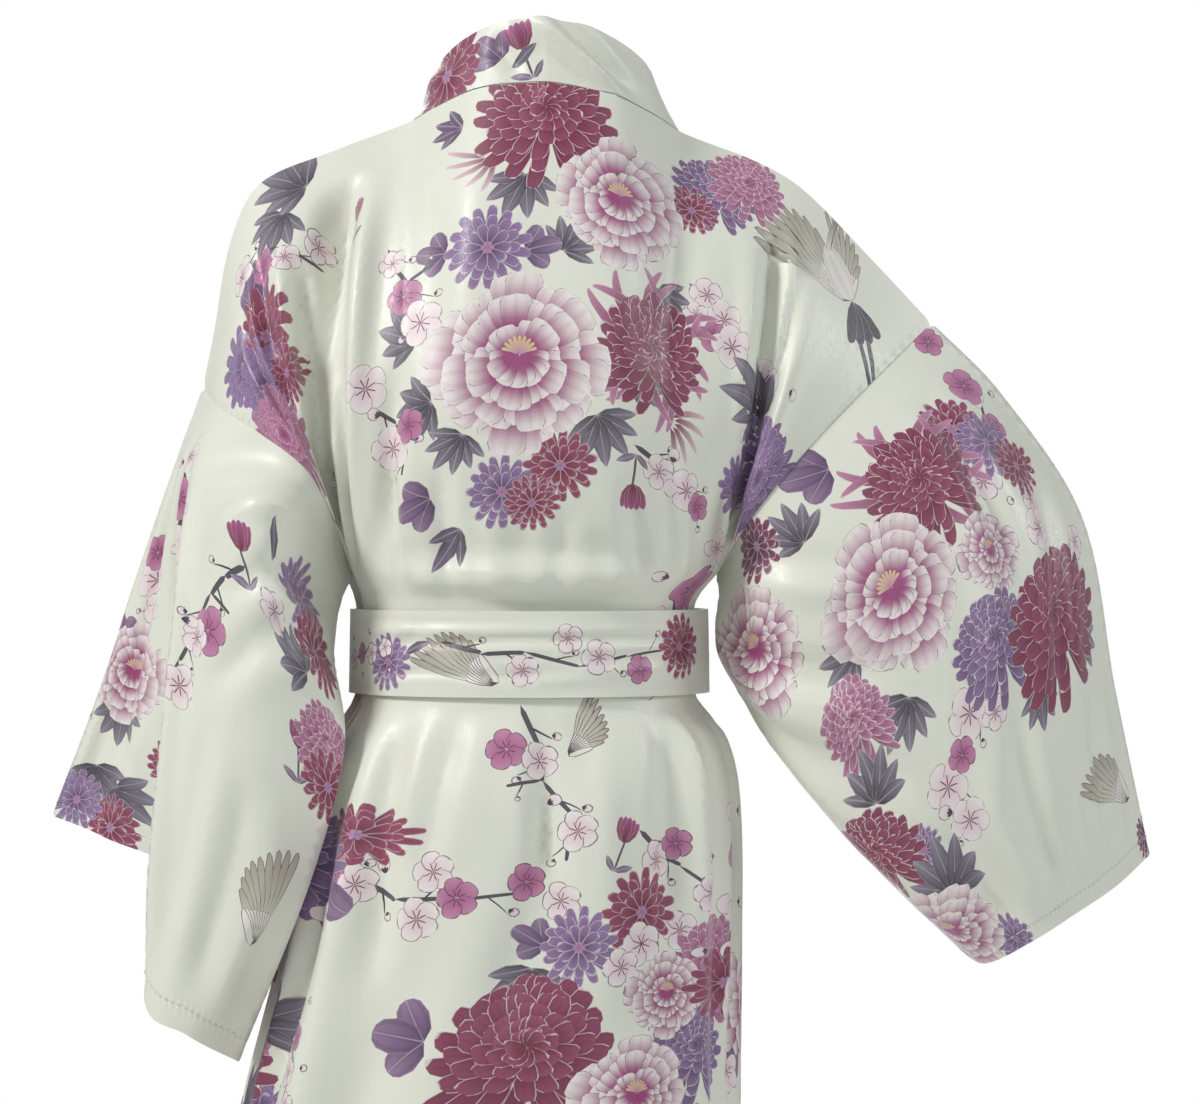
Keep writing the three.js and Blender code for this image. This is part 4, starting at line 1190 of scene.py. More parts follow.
# %% The back
BACK_PRINT = [
    (leaves, 55, 25, 0.2, 30, 4, 1.4, PURPLE, GREY), (dark_leaves, 12, 62, -1.4, 34),
    (dark_leaves, -15, 112, 2.2, 28), (dark_leaves, -78, 122, -2.2, 32), (dark_leaves, 78, 162, 0.6, 36),
    (dark_leaves, 66, 205, -0.4, 34), (dark_leaves, 46, 228, -1.1, 30), (dark_leaves, -38, 215, -2.0, 34),
    (dark_leaves, -60, 190, 3.0, 30), (dark_leaves, 165, 22, 0.5, 44), (dark_leaves, 182, 36, -0.9, 36),
    (grey_leaves, 10, 112, 2.9, 24), (grey_leaves, 62, 108, 0.2, 26),
    (grey_leaves, 66, 268, -0.4, 30), (leaves, 45, 288, -1.0, 34, 3, 1.0), (hooks, 35, 48, 22, -0.6),
    (hooks, -85, 212, 24, -2.6), (grey_leaves, 222, 86, 1.9, 30), (leaves, 250, 190, -1.2, 34),
    (branch, [(102, 92), (96, 108), (85, 120), (79, 136), (75, 158)], 2.6),
    (branch, [(86, 120), (70, 112)], 1.6), (pink_plum, 88, 130, 13), (plum, 76, 150, 16),
    (plum, 98, 104, 10), (branch, [(132, 178), (118, 200), (96, 214), (84, 232), (86, 250)], 2.6),
    (plum, 120, 188, 16), (plum, 98, 232, 15), (pink_plum, 82, 218, 12), (bud, 108, 208, 0.3, 9),
    (branch, [(-98, 112), (-112, 126), (-122, 140), (-138, 152), (-158, 158)], 2.4),
    (branch, [(-112, 126), (-104, 144)], 1.6), (plum, -112, 118, 12), (plum, -128, 132, 13),
    (pink_plum, -118, 146, 11), (plum, -138, 150, 14), (plum, -104, 134, 9),
    (branch, [(-62, 232), (-82, 244), (-98, 252), (-112, 264), (-124, 274)], 2.6), (plum, -80, 248, 12),
    (plum, -100, 258, 14), (pink_plum, -114, 270, 10), (bud, -90, 240, 1.8, 9),
    (red_bud, -62, 258, -1.5, 18), (branch, [(232, 48), (212, 56), (190, 62), (162, 82)], 2.6),
    (plum, 162, 66, 14), (pink_plum, 205, 66, 12), (plum, 226, 50, 13), (plum, 184, 74, 11),
    (red_bud, 130, 58, 1.7, 18), (violet_mum, 270, 110, 24), (small_mum, 222, 115, 30),
    (violet_mum, 258, 150, 28), (rose_mum, 292, 190, 36), (small_mum, 210, 158, 20),
    (crane, -258, 44, 3.75, 104), (spray, -215, 150, 70, -1.9), (bouquet, -265, 215, 50, 1),
    (purple_mum, -115, 35, 30), (rose_mum, -140, 20, 28), (small_mum, -98, 58, 18),
    (mum, 0, 18, 44), (peony, -52, 75, 47), (violet_mum, 35, 110, 26),
    (small_mum, -15, 248, 22), (violet_mum, 20, 265, 22), (small_mum, 2, 272, 17),
    (spider_mum, -74, 165, 44), (peony, 12, 185, 58), (spray, 190, 262, 62, -1.4),
    (spray, -175, 300, 60, -1.2), (wing, -22, 432, 2.3, 46),
    (branch, [(4, 400), (-4, 424), (-8, 446), (-24, 470), (-25, 498)], 2.6),
    (branch, [(-8, 446), (10, 452)], 1.6), (pink_plum, 13, 428, 14), (plum, -6, 434, 13),
    (plum, -28, 480, 14), (bud, -12, 462, 2.6, 9), (dark_leaves, -10, 566, -1.4, 40),
    (branch, [(114, 503), (92, 512), (66, 524), (34, 524), (2, 518)], 2.8), (pink_plum, 106, 508, 14),
    (plum, 90, 516, 15), (bud, 76, 508, 1.4, 10), (plum, 44, 506, 14), (pink_plum, 30, 522, 14),
    (plum, 50, 536, 15), (pink_plum, -4, 512, 13), (plum, -22, 524, 13), (red_bud, -52, 488, 1.9, 17),
    (branch, [(-62, 480), (-76, 494), (-92, 504), (-112, 520)], 2.4), (plum, -75, 500, 14),
    (pink_plum, -90, 490, 11), (plum, -112, 522, 13), (plum, -92, 545, 13),
    (grey_leaves, -15, 552, 0.5, 24), (grey_leaves, 36, 612, 0.1, 44), (spray, 118, 592, 46, -1.8),
    (spray, 168, 604, 46, -1.6), (small_mum, -65, 532, 26), (violet_mum, -32, 553, 24),
    (plum, -66, 552, 15), (plum, -54, 566, 13), (rose_mum, -122, 565, 36), (purple_mum, -108, 618, 32),
    (peony, -84, 586, 28), (mum, -12, 615, 58), (peony, -68, 650, 40),
    (dark_leaves, -108, 676, -2.0, 34), (dark_leaves, 60, 676, -0.4, 36), (bouquet, 60, 722, 58, 0),
    (spray, -10, 700, 62, -2.2), (bouquet, -70, 745, 56, 2), (crane, 128, 758, 0.4, 92),
    (bouquet, -152, 712, 52, 3), (spray, 176, 680, 60, -1.2), (bouquet, 178, 500, 44, 1),
    (spray, -190, 470, 60, -1.5), (bouquet, -236, 600, 50, 0), (bouquet, 238, 640, 48, 2),
    (spray, 10, 800, 60, 0.2), (bouquet, -240, 780, 52, 1), (bouquet, 246, 790, 46, 3),
]

print("motifs on the back:", len(BACK_PRINT))

# %% The fronts
LEFT_FRONT_PRINT = [
    (spray, 140, 60, 60, -1.2), (bouquet, 205, 70, 54, 0), (bouquet, 150, 165, 56, 1),
    (bouquet, 245, 190, 48, 3), (spray, 75, 215, 60, -1.9), (bouquet, 60, 295, 48, 2),
    (crane, 190, 300, 2.3, 80), (spray, 20, 420, 66, -1.3), (bouquet, 120, 440, 56, 3),
    (spray, 215, 430, 60, -1.2), (bouquet, 0, 540, 58, 0), (bouquet, 180, 560, 54, 2),
    (spray, 90, 610, 66, -1.8), (bouquet, -45, 660, 56, 1), (crane, 60, 720, 0.5, 96),
    (bouquet, 200, 700, 54, 1), (bouquet, 130, 790, 54, 0), (spray, -20, 780, 60, 0.3),
    (bouquet, 265, 790, 46, 2),
]
RIGHT_FRONT_PRINT = [
    (spray, -150, 50, 60, -1.9), (bouquet, -210, 85, 54, 2), (bouquet, -140, 155, 54, 3),
    (bouquet, -235, 215, 50, 0), (spray, -80, 250, 60, -1.4), (crane, -150, 300, 2.6, 84),
    (bouquet, -20, 330, 44, 1), (bouquet, -60, 450, 56, 0), (spray, -150, 430, 62, -1.6),
    (bouquet, -215, 500, 52, 1), (spray, 10, 540, 64, -1.7), (bouquet, -110, 590, 56, 3),
    (bouquet, 40, 640, 54, 2), (crane, -60, 730, 0.3, 92), (bouquet, -200, 660, 54, 2),
    (bouquet, -130, 790, 54, 1), (spray, 10, 790, 60, 0.2), (bouquet, -260, 780, 48, 3),
]
print("motifs on the fronts:", len(LEFT_FRONT_PRINT), "and", len(RIGHT_FRONT_PRINT))

# %% The sleeves, x positive on the back layer
LEFT_SLEEVE_PRINT = [
    (dark_leaves, 28, 335, -1.2, 40), (dark_leaves, 58, 345, -0.8, 38), (leaf, 240, 85, 1.9, 26),
    (dark_leaves, 262, 145, 2.8, 34), (dark_leaves, 38, 268, -1.7, 34), (grey_leaves, 20, 222, 2.4, 26),
    (branch, [(216, 114), (202, 126), (190, 140), (176, 164), (166, 190), (162, 218)], 2.8),
    (branch, [(190, 140), (206, 150)], 1.6), (pink_plum, 190, 165, 17), (plum, 178, 172, 13),
    (plum, 240, 125, 14), (plum, 168, 208, 15), (plum, 150, 226, 13), (red_bud, 215, 104, 1.8, 20),
    (branch, [(30, 130), (36, 150), (44, 172), (40, 196)], 2.6), (plum, 38, 165, 15),
    (pink_plum, 30, 142, 13), (plum, 48, 188, 13), (peony, 38, 245, 36), (small_mum, 60, 388, 22),
    (violet_mum, 20, 376, 20), (spray, 90, 60, 56, -1.4), (bouquet, 120, 330, 46, 3),
    (red_bud, 262, 205, 1.7, 18), (violet_mum, 262, 80, 26), (small_mum, 272, 110, 24),
    (rose_mum, 278, 180, 26), (small_mum, 283, 215, 20), (wing, 258, 336, 1.6, 70),
    (bouquet, -60, 70, 54, 1), (spray, -150, 60, 60, -1.6),
    (bouquet, -210, 110, 50, 2), (bouquet, -110, 170, 56, 0), (spray, -40, 190, 62, -1.3),
    (bouquet, -200, 230, 52, 3), (crane, -90, 290, 0.4, 84), (bouquet, -235, 330, 50, 1),
    (bouquet, -140, 360, 52, 2), (spray, -50, 350, 58, -1.8),
]
RIGHT_SLEEVE_PRINT = [
    (grey_leaves, 155, 22, 0.6, 34), (dark_leaves, 202, 45, 1.6, 32), (dark_leaves, 205, 178, -0.8, 34),
    (dark_leaves, 150, 98, 2.6, 30), (dark_leaves, 218, 128, 0.2, 30), (grey_leaves, 96, 206, 2.6, 30),
    (dark_leaves, 105, 232, -1.7, 30), (dark_leaves, 44, 226, -2.2, 30), (spray, 22, 60, 50, -1.2),
    (branch, [(152, 216), (172, 222), (190, 240), (200, 262), (206, 284)], 2.8),
    (branch, [(172, 222), (180, 208)], 1.6), (plum, 170, 215, 17), (plum, 150, 226, 11),
    (plum, 205, 245, 16), (plum, 200, 275, 14), (pink_plum, 186, 234, 11), (bud, 210, 262, 0.6, 10),
    (pink_plum, 15, 8, 12), (pink_plum, 28, 50, 16), (plum, 80, 105, 13), (plum, 62, 150, 15),
    (plum, 25, 175, 12), (small_mum, 232, 17, 20, DARK, PLUM), (small_mum, 70, 65, 22),
    (violet_mum, 58, 88, 22), (small_mum, 45, 112, 20), (rose_mum, 235, 158, 30),
    (peony, 262, 75, 42), (spider_mum, 122, 75, 44), (peony, 110, 142, 28), (peony, 180, 120, 50),
    (purple_mum, 135, 186, 34), (mum, 72, 200, 48), (wing, 14, 352, 0.7, 64),
    (small_mum, 2, 386, 14, DARK, PLUM), (bouquet, 262, 240, 40, 2), (bouquet, 262, 350, 44, 0),
    (bouquet, -60, 60, 54, 0), (spray, -150, 70, 60, -1.6), (bouquet, -215, 90, 50, 1),
    (bouquet, -120, 170, 56, 2), (spray, -40, 180, 60, -1.3), (bouquet, -210, 220, 52, 3),
    (crane, -100, 290, 0.4, 84), (bouquet, -235, 330, 50, 0), (bouquet, -145, 365, 50, 1),
]
print("motifs on the sleeves:", len(LEFT_SLEEVE_PRINT), "and", len(RIGHT_SLEEVE_PRINT))

# %% The neckband and the sash
# On the strips x runs along them, and the second number is negative above the strip's own line.
BAND_PRINT = [
    (grey_leaves, -44, -20, 2.4, 25), (red_bud, -22, -25, 1.9, 19), (leaf, -34, -12, 0.6, 22),
    (small_mum, -86, -20, 31), (violet_mum, -112, -36, 16), (spray, -190, -22, 34, 3.1),
    (mum, -300, -26, 26), (small_mum, -420, -18, 20), (spray, -520, -26, 34, 3.1),
    (peony, -640, -24, 26), (violet_mum, -730, -30, 18), (mum, -850, -22, 26, BURGUNDY, PINK),
    (spray, 250, -24, 34, 0.1), (peony, 360, -24, 26), (small_mum, 460, -30, 20),
    (mum, 560, -22, 26, PURPLE, LILAC), (spray, 640, -24, 34, 0.1), (small_mum, 760, -20, 20),
    (peony, 860, -26, 26),
]
SASH_PRINT = [
    (wing, 16, 18, 0.45, 62), (branch, [(54, -8), (28, 0), (2, -2), (-30, 8), (-62, 2), (-92, -4)], 2.2),
    (plum, -25, -10, 10), (plum, -44, 2, 12), (plum, 2, 10, 11), (pink_plum, -72, 10, 10),
    (small_mum, -112, -4, 20), (violet_mum, 96, 6, 18), (leaf, 80, 0, 2.6, 20),
    (spray, 150, 0, 34, 3.0), (mum, 215, -4, 22), (peony, -190, 4, 24), (spray, -230, -2, 34, 3.1),
    (small_mum, -300, 4, 18), (small_mum, 290, -6, 18),
]
TAIL_PRINT = [
    (small_mum, -4, 430, 18), (spray, 6, 470, 34, -1.5), (peony, 2, 560, 22), (violet_mum, -10, 596, 16),
    (mum, 4, 640, 20),
]
print("motifs on the strips:", len(BAND_PRINT) + len(SASH_PRINT) + 2 * len(TAIL_PRINT))

# %% [markdown]
# ## The body panels
#
# One back panel without a centre seam and two fronts. On the real coat they are straight pieces of
# cloth; here wider flat patterns are drawn in and bent by the form's formulas, and each motif is scaled
# to suit. A panel stops slightly short of each seam, and its last 16 mm at the hem are double.

# %% The body's creases
HALF = 320.0  # mm of flat pattern for one share across
BACK_GAP, FRONT_GAP, SLEEVE_GAP, STRIP_GAP = 6.5, 9.0, 7.0, 6.0  # mm between a panel's own points
SHOULDER_SEAM, SLEEVE_SEAM, BAND_SEAM = 0.7, 0.2, 0.3  # how far each panel keeps from its seam
# x, y at both ends, half width, height (a trough is negative), bow.
BACK_CREASES = [
    (136, -26, 160, -330, 12, -6, 3), (-154, -44, -166, -310, 9, -3.5, -3),
    (116, -20, 150, -310, 11, 3.5, 4), (92, -160, 112, -335, 10, -3, 0), (168, -60, 192, -215, 7, -4, 3),
    (181, -50, 206, -205, 7, 3, 3), (204, -40, 222, -150, 7, -3, 2), (240, -70, 262, -210, 8, -2.5, 0),
    (-150, -50, -168, -330, 9, 3.5, -3), (-196, -60, -226, -215, 9, -3, 0), (-182, -30, -208, -150, 8, 2, 0),
    (62, -240, 50, -338, 7, -2.2, 0), (-58, -250, -72, -338, 8, -2.5, 0), (-18, -270, -14, -338, 7, -1.5, 0),
    (26, -265, 20, -338, 9, 1.6, 0), (-96, -230, -104, -338, 8, 2.5, 0), (104, -230, 88, -338, 7, -2.5, 0),
    (-104, -322, 110, -320, 9, 3, 2), (70, -50, 58, -210, 13, -1.6, 5), (-92, -60, -70, -200, 13, -1.5, 0),
    (86, -398, 70, -590, 10, -3.5, 0), (46, -398, 52, -520, 9, -2, 0), (-6, -396, -18, -520, 7, -3, 2),
    (-34, -398, -52, -620, 15, 3, 0), (-84, -398, -84, -560, 9, -3.5, 0), (-106, -398, -112, -560, 7, 3, 0),
    (120, -430, 150, -780, 13, -5.5, 6), (96, -460, 104, -800, 12, 4, 0), (60, -560, 72, -840, 15, -4, 0),
    (18, -480, 26, -840, 16, 2.5, 0), (-28, -600, -22, -840, 15, -3, 0), (-96, -600, -92, -840, 13, -3.5, 0),
    (-128, -480, -136, -840, 11, -3, 0), (188, -520, 196, -840, 12, -3, 0),
]
ONE_FRONT = [
    (120, -60, 190, -300, 10, -3, 0), (90, -140, 60, -330, 10, -2.5, 0), (60, -400, 80, -820, 13, -3.5, 0),
    (140, -420, 160, -830, 12, 3, 0), (200, -470, 216, -830, 12, -3, 0),
]
FRONT_CREASES = ONE_FRONT + [(-x0, y0, -x1, y1, *rest) for x0, y0, x1, y1, *rest in ONE_FRONT]
FRONT_CREASES.append((0, -420, 0, -800, 13, -2.5, 0))
print("creases: back", len(BACK_CREASES), "fronts", len(FRONT_CREASES))

# %% Surfaces over the flat pattern


def seam_dip(away):
    """Stitching draws the cloth in by 1.2 mm at a seam: -1.2 exp(-(away / 2.4)^2)."""
    return -1.2 * np.exp(-((away / 2.4) ** 2))


def body_surface(face, rise_of=None, table=()):
    """Flat x, y to the place on the body; creases stand on the cloth's outer face and its inner one."""

    read = tabled(
        lambda x, y: body_cloth(x / HALF, -y, face, rise_of(x / HALF, -y) if rise_of else 0.0),
        lambda x, y: body_normal(x / HALF, -y, face), (-HALF, -BODY_LENGTH), (HALF, 0),
    )

    def surface(x, y, rise):
        place, normal = read(x, y)
        lift = creases(table, x, y) + seam_dip(HALF - np.abs(x))
        return place + normal * (rise + lift)[:, None]

    return surface


# %% Walls and borders


def hem_wall(length):
    """Thickness of the cloth: double over the last HEM mm."""
    return lambda x, y: np.where(-y > length - HEM, HEM_CLOTH, CLOTH)


def even_wall(thick):
    """The same thickness all over."""
    return lambda x, y: np.full(len(x), thick)


def armpit_ease(down):
    """The fronts keep a little away from the armpit, where three pieces meet."""
    return 0.04 * smooth(250, 290, down) * smooth(350, 325, down)


POINTS_DOWN, POINTS_AT_TOP, POINTS_AT_HEM = 141, 14, 40


def front_border(sign):
    """The curved front edge, the side seam, and straight top and hem."""
    down = np.linspace(BODY_LENGTH, SHOULDER_SEAM, POINTS_DOWN)
    near, far = front_edge(down) * HALF + BAND_SEAM, (1 - armpit_ease(down)) * HALF
    top = np.linspace(far[-1], near[-1], POINTS_AT_TOP)[1:-1]
    hem = np.linspace(near[0], far[0], POINTS_AT_HEM)[1:-1]
    x = np.concatenate([hem, far, top, near[::-1]])
    y = -np.concatenate([hem * 0 + BODY_LENGTH, down, top * 0 + SHOULDER_SEAM, down[::-1]])
    border = np.stack([x * sign, y], axis=1)
    return border if sign > 0 else border[::-1]


print("points of the front's border:", len(front_border(1)))

# %% Back and fronts
back_surface = body_surface("back", None, BACK_CREASES)
back = lay_panel(
    "coat_back", rectangle(-HALF, -BODY_LENGTH, HALF, -SHOULDER_SEAM),
    printed(back_surface, BACK_PRINT), back_surface, hem_wall(BODY_LENGTH), BACK_GAP,
    hem=lambda x, y: BODY_LENGTH + y,
)
left_surface = body_surface("front", left_rise, FRONT_CREASES)
front_left = lay_panel(
    "coat_front_left", front_border(1), printed(left_surface, LEFT_FRONT_PRINT), left_surface,
    hem_wall(BODY_LENGTH), FRONT_GAP, hem=lambda x, y: BODY_LENGTH + y,
)
right_surface = body_surface("front", None, FRONT_CREASES)
front_right = lay_panel(
    "coat_front_right", front_border(-1), printed(right_surface, RIGHT_FRONT_PRINT), right_surface,
    hem_wall(BODY_LENGTH), FRONT_GAP, hem=lambda x, y: BODY_LENGTH + y,
)

# %% [markdown]
# ## The sleeves
#
# Each sleeve is one piece, folded along its top and sewn under the arm. The left one hangs, and its
# cloth drops in a standing fold from the shoulder to the cuff. The right one follows a bent arm, so it
# opens wide. The cuff is open, with a deep hem inside it.

# %% Sleeves
ROUND, SLEEVE_LENGTH, TOP_POINTS = 580.0, 400.0, 100
FAR_SLEEVE_CREASES = [
    (-60, -40, -80, -380, 12, -3, 0), (-140, -60, -150, -390, 12, -3, 0),
    (-220, -40, -210, -380, 12, -3, 0),
]
SLEEVE_CREASES = {
    "left": [
        (286, -20, 196, -150, 9, -3, 5), (284, -80, 186, -215, 9, -2.5, 0), (250, -10, 180, -120, 9, 2, 0),
        (30, -40, 46, -330, 9, -2.5, 3), (78, -20, 100, -230, 10, -2.5, 0), (112, -60, 128, -340, 9, 2.5, 0),
        (232, -230, 218, -392, 11, -2.5, 0), (196, -200, 182, -390, 9, -2, 0),
        (262, -260, 246, -396, 9, 2, 0), (70, -260, 64, -396, 10, 2, 0), (16, -180, 10, -390, 8, 2, 0),
        (158, -50, 160, -430, 8, 3.5, 0), (122, -50, 124, -430, 9, -4, 0),
        *FAR_SLEEVE_CREASES,
    ],
    "right": [
        (284, -30, 200, -170, 10, -3.5, 5), (286, -90, 226, -240, 9, -3, 0), (262, -10, 190, -110, 9, 2.5, 0),
        (60, -20, 112, -180, 10, -2.5, 0), (26, -110, 92, -270, 10, -2.5, 4), (90, -60, 150, -240, 11, 2, 0),
        (132, -220, 150, -390, 12, -2.5, 0), (222, -250, 214, -392, 10, -2.5, 0),
        (42, -250, 62, -392, 10, -2, 0), (176, -240, 184, -394, 10, 2, 0), (96, -300, 104, -396, 9, 2, 0),
        (256, -230, 250, -390, 10, 2, 0),
        *FAR_SLEEVE_CREASES,
    ],
}


def sleeve_surface(side):
    """x goes round from the crease along the top: the back layer is positive, the front negative."""

    read = tabled(
        lambda x, y: sleeve_point(side, (x / ROUND) % 1, -y / SLEEVE_LENGTH),
        lambda x, y: sleeve_normal(side, (x / ROUND) % 1, -y / SLEEVE_LENGTH),
        (-ROUND / 2, -SLEEVE_LENGTH), (ROUND / 2, 0), 5.0,
    )

    def surface(x, y, rise):
        place, normal = read(x, y)
        lift = creases(SLEEVE_CREASES[side], x, y) + seam_dip(-y) + seam_dip(ROUND / 2 - np.abs(x))
        return place + normal * (rise + lift)[:, None]

    return surface


sleeves, sleeve_surfaces = {}, {side: sleeve_surface(side) for side in ("left", "right")}
for side, motifs in (("left", LEFT_SLEEVE_PRINT), ("right", RIGHT_SLEEVE_PRINT)):
    surface, half_round = sleeve_surfaces[side], ROUND / 2 - SLEEVE_SEAM
    sleeves[side] = lay_panel(
        "sleeve_" + side + "_cloth",
        rectangle(-half_round, -SLEEVE_LENGTH, half_round, -SLEEVE_SEAM),
        printed(surface, motifs), surface, hem_wall(SLEEVE_LENGTH), SLEEVE_GAP,
        hem=lambda x, y: SLEEVE_LENGTH + y,
        spine=np.stack([np.zeros(TOP_POINTS), np.linspace(-4.0, 4.0 - SLEEVE_LENGTH, TOP_POINTS)], axis=1),
    )

# %% [markdown]
# ## Neckband and sash
#
# The neckband is a double strip that runs up one front, stands round the neck and runs down the other.
# The sash is a double strip too. It goes once round the waist over both fronts, is knotted in front,
# and its ends hang down. Its edges are pressed, and along its middle it is creased from the tying.

# %% Neckband
NECK_MM = 118.0  # half of the band's length round the neck
BAND_CREASES = [
    (-26, 52, 78, -2, 7, 3.6, 3), (-14, 56, 92, 2, 7, -2, 3), (-60, 40, -20, 4, 8, -1.5, 0),
    (-118, 40, -70, 10, 8, 1.5, 0), (-300, 24, -700, 26, 9, -1, 0), (300, 24, 700, 26, 9, -1, 0),
]


def band_way(x):
    """x runs along the band from the nape, to the wearer's left where it is negative."""
    a = np.abs(x)
    past = NECK_WAY + (a - NECK_MM) / BODY_LENGTH * (1 - NECK_WAY)
    return np.sign(x) * np.where(a <= NECK_MM, a / NECK_MM * NECK_WAY, past)


reach = NECK_MM + BODY_LENGTH
read_band = tabled(lambda x, y: band_point(band_way(x), y), lambda x, y: band_normal(band_way(x), y),
                   (-reach, 0), (reach, BAND_WIDTH), 6.0)


def band_surface(x, y, rise):
    """Place on the band with its creases.

    (before + 2 here + after) / 4, from 12 mm to each side, rounds it at the nape.
    """
    (before, n0), (here, n1), (after, n2) = (read_band(x + step, y) for step in (-12, 0, 12))
    k = smooth(60, 30, np.abs(x))[:, None]
    place = here + (before + after - 2 * here) / 4 * k
    normal = unit(n1 + (n0 + n2) / 2 * k)
    return place + normal * (rise + creases(BAND_CREASES, x, y))[:, None]


neckband = lay_panel(
    "neckband_cloth", rectangle(-reach, BAND_SEAM, reach, BAND_WIDTH),
    printed(band_surface, BAND_PRINT), band_surface, even_wall(BAND_CLOTH), STRIP_GAP,
)

# %% Sash round the waist, and its two ends
SASH_CREASES = [
    (-150, 9, 130, 4, 3, -1.0, 2), (-90, -13, 150, -10, 3, -0.9, -2), (-40, 17, 160, 14, 3, 0.8, 0),
    (-160, -4, 20, -18, 4, 0.9, 0), (60, 22, 110, -20, 5, -0.9, 0), (-130, 20, -90, -16, 5, -0.9, 0),
    (-300, 8, -180, 2, 4, -1, 0), (180, -6, 300, 8, 4, -1, 0),
]


def sash_surface(x, y, rise):
    """x is turn times SASH_ROUND, y runs up from the sash's middle."""
    lift = rise + SASH_CLOTH + creases(SASH_CREASES, x, y)
    return sash_point(x / SASH_ROUND, 0.5 - y / SASH_WIDTH, lift)


half_round, half_wide = math.pi * SASH_ROUND - BAND_SEAM, SASH_WIDTH / 2
sash = lay_panel(
    "sash_wrap", rectangle(-half_round, -half_wide, half_round, half_wide),
    printed(sash_surface, SASH_PRINT), sash_surface, even_wall(SASH_CLOTH), STRIP_GAP,
)


def tail_surface(side):
    """Near the knot the end is gathered into three soft folds."""

    def surface(x, y, rise):
        k = (-y - TAIL_TOP) / TAIL_LENGTH
        wave = 1.6 * (np.cos(x / SASH_WIDTH * 6 * np.pi) - 1) * smooth(0.75, 0.03, k)
        return tail_point(side, x / SASH_WIDTH, -y, rise + SASH_CLOTH + wave)

    return surface


tails = []
for side in ("left", "right"):
    surface, foot = tail_surface(side), TAIL_TOP + TAIL_LENGTH
    motifs = TAIL_PRINT
    if side == "right":
        motifs = [(maker, -x, TAIL_TOP + foot - down, *rest) for maker, x, down, *rest in TAIL_PRINT]
    tails.append(lay_panel(
        "sash_tail_" + side, rectangle(-half_wide, -foot, half_wide, -TAIL_TOP),
        printed(surface, motifs), surface, even_wall(SASH_CLOTH), STRIP_GAP,
    ))

# %% [markdown]
# ## The knot
#
# The sash's last turn is drawn over itself: a smooth loop crosses the knot from its top to its foot,
# and the cloth on both sides of it is gathered. The knot is one closed surface in polar form, a rounded
# shape whose radius rises over the loop, falls in the pinch beside it and ripples in the gathers.

# %% Knot
KNOT_SIZE, KNOT_STAND = (56.0, 26.0, 50.0), SASH_CLOTH + 1.925  # mm; from its seat to its back
rings, spokes = 40, 96
polar_angle = np.linspace(0, np.pi, rings + 2)[1:-1][:, None]
around = np.linspace(0, 2 * np.pi, spokes, endpoint=False)[None]
px = np.sin(polar_angle) * np.cos(around)
pz = np.cos(polar_angle) + around * 0
py = np.sin(polar_angle) * np.sin(around)
turn_over = 0.10 * smooth(0.42, 0.30, np.abs(px + 0.15 * pz))
pinch = -0.13 * np.exp(-(((np.abs(px + 0.15 * pz) - 0.5) / 0.09) ** 2))
gathers = 0.035 * np.cos(13 * pz + 3 * px * np.sign(px)) * smooth(0.45, 0.6, np.abs(px))
gathers += 0.03 * np.cos(16 * px + 4 * pz) * smooth(0.4, 0.2, np.abs(px))
radius = 0.97 + (turn_over + pinch + gathers) * np.sin(polar_angle) ** 0.5
centre = KNOT_SEAT - np.array([0, KNOT_SIZE[1] / 2 + KNOT_STAND, 0])
shell = np.stack([px, py, pz], axis=2) * radius[..., None] * np.array(KNOT_SIZE) / 2 + centre
poles = centre + np.array([[0, 0, KNOT_SIZE[2] / 2], [0, 0, -KNOT_SIZE[2] / 2]])
count = rings * spokes
cells = np.arange(count).reshape(rings, spokes)
right = np.roll(cells, -1, axis=1)
sides = np.stack([cells[:-1], cells[1:], right[1:], right[:-1]], axis=2).reshape(-1, 4)
caps = [[count, a, b] for a, b in zip(cells[0], right[0])]
caps += [[count + 1, b, a] for a, b in zip(cells[-1], right[-1])]
knot_mesh = bpy.data.meshes.new("sash_knot_cloth")
knot_mesh.from_pydata((np.concatenate([shell.reshape(-1, 3), poles]) * METRES).tolist(), [],
                      sides.tolist() + caps)
knot_mesh.shade_smooth()
knot = piece_of("sash_knot_cloth", knot_mesh)

# %% [markdown]
# ## The hem stitching
#
# The hems are turned up and caught by a row of small stitches 14 mm above the edge. One stitch is a
# spindle of a few faces; each run of them is placed at once, along the cloth's own direction.

# %% Stitches
STITCH_UP, STITCH_EVERY, STITCH_LONG, STITCH_THICK = 14.0, 7.0, 3.0, 0.45


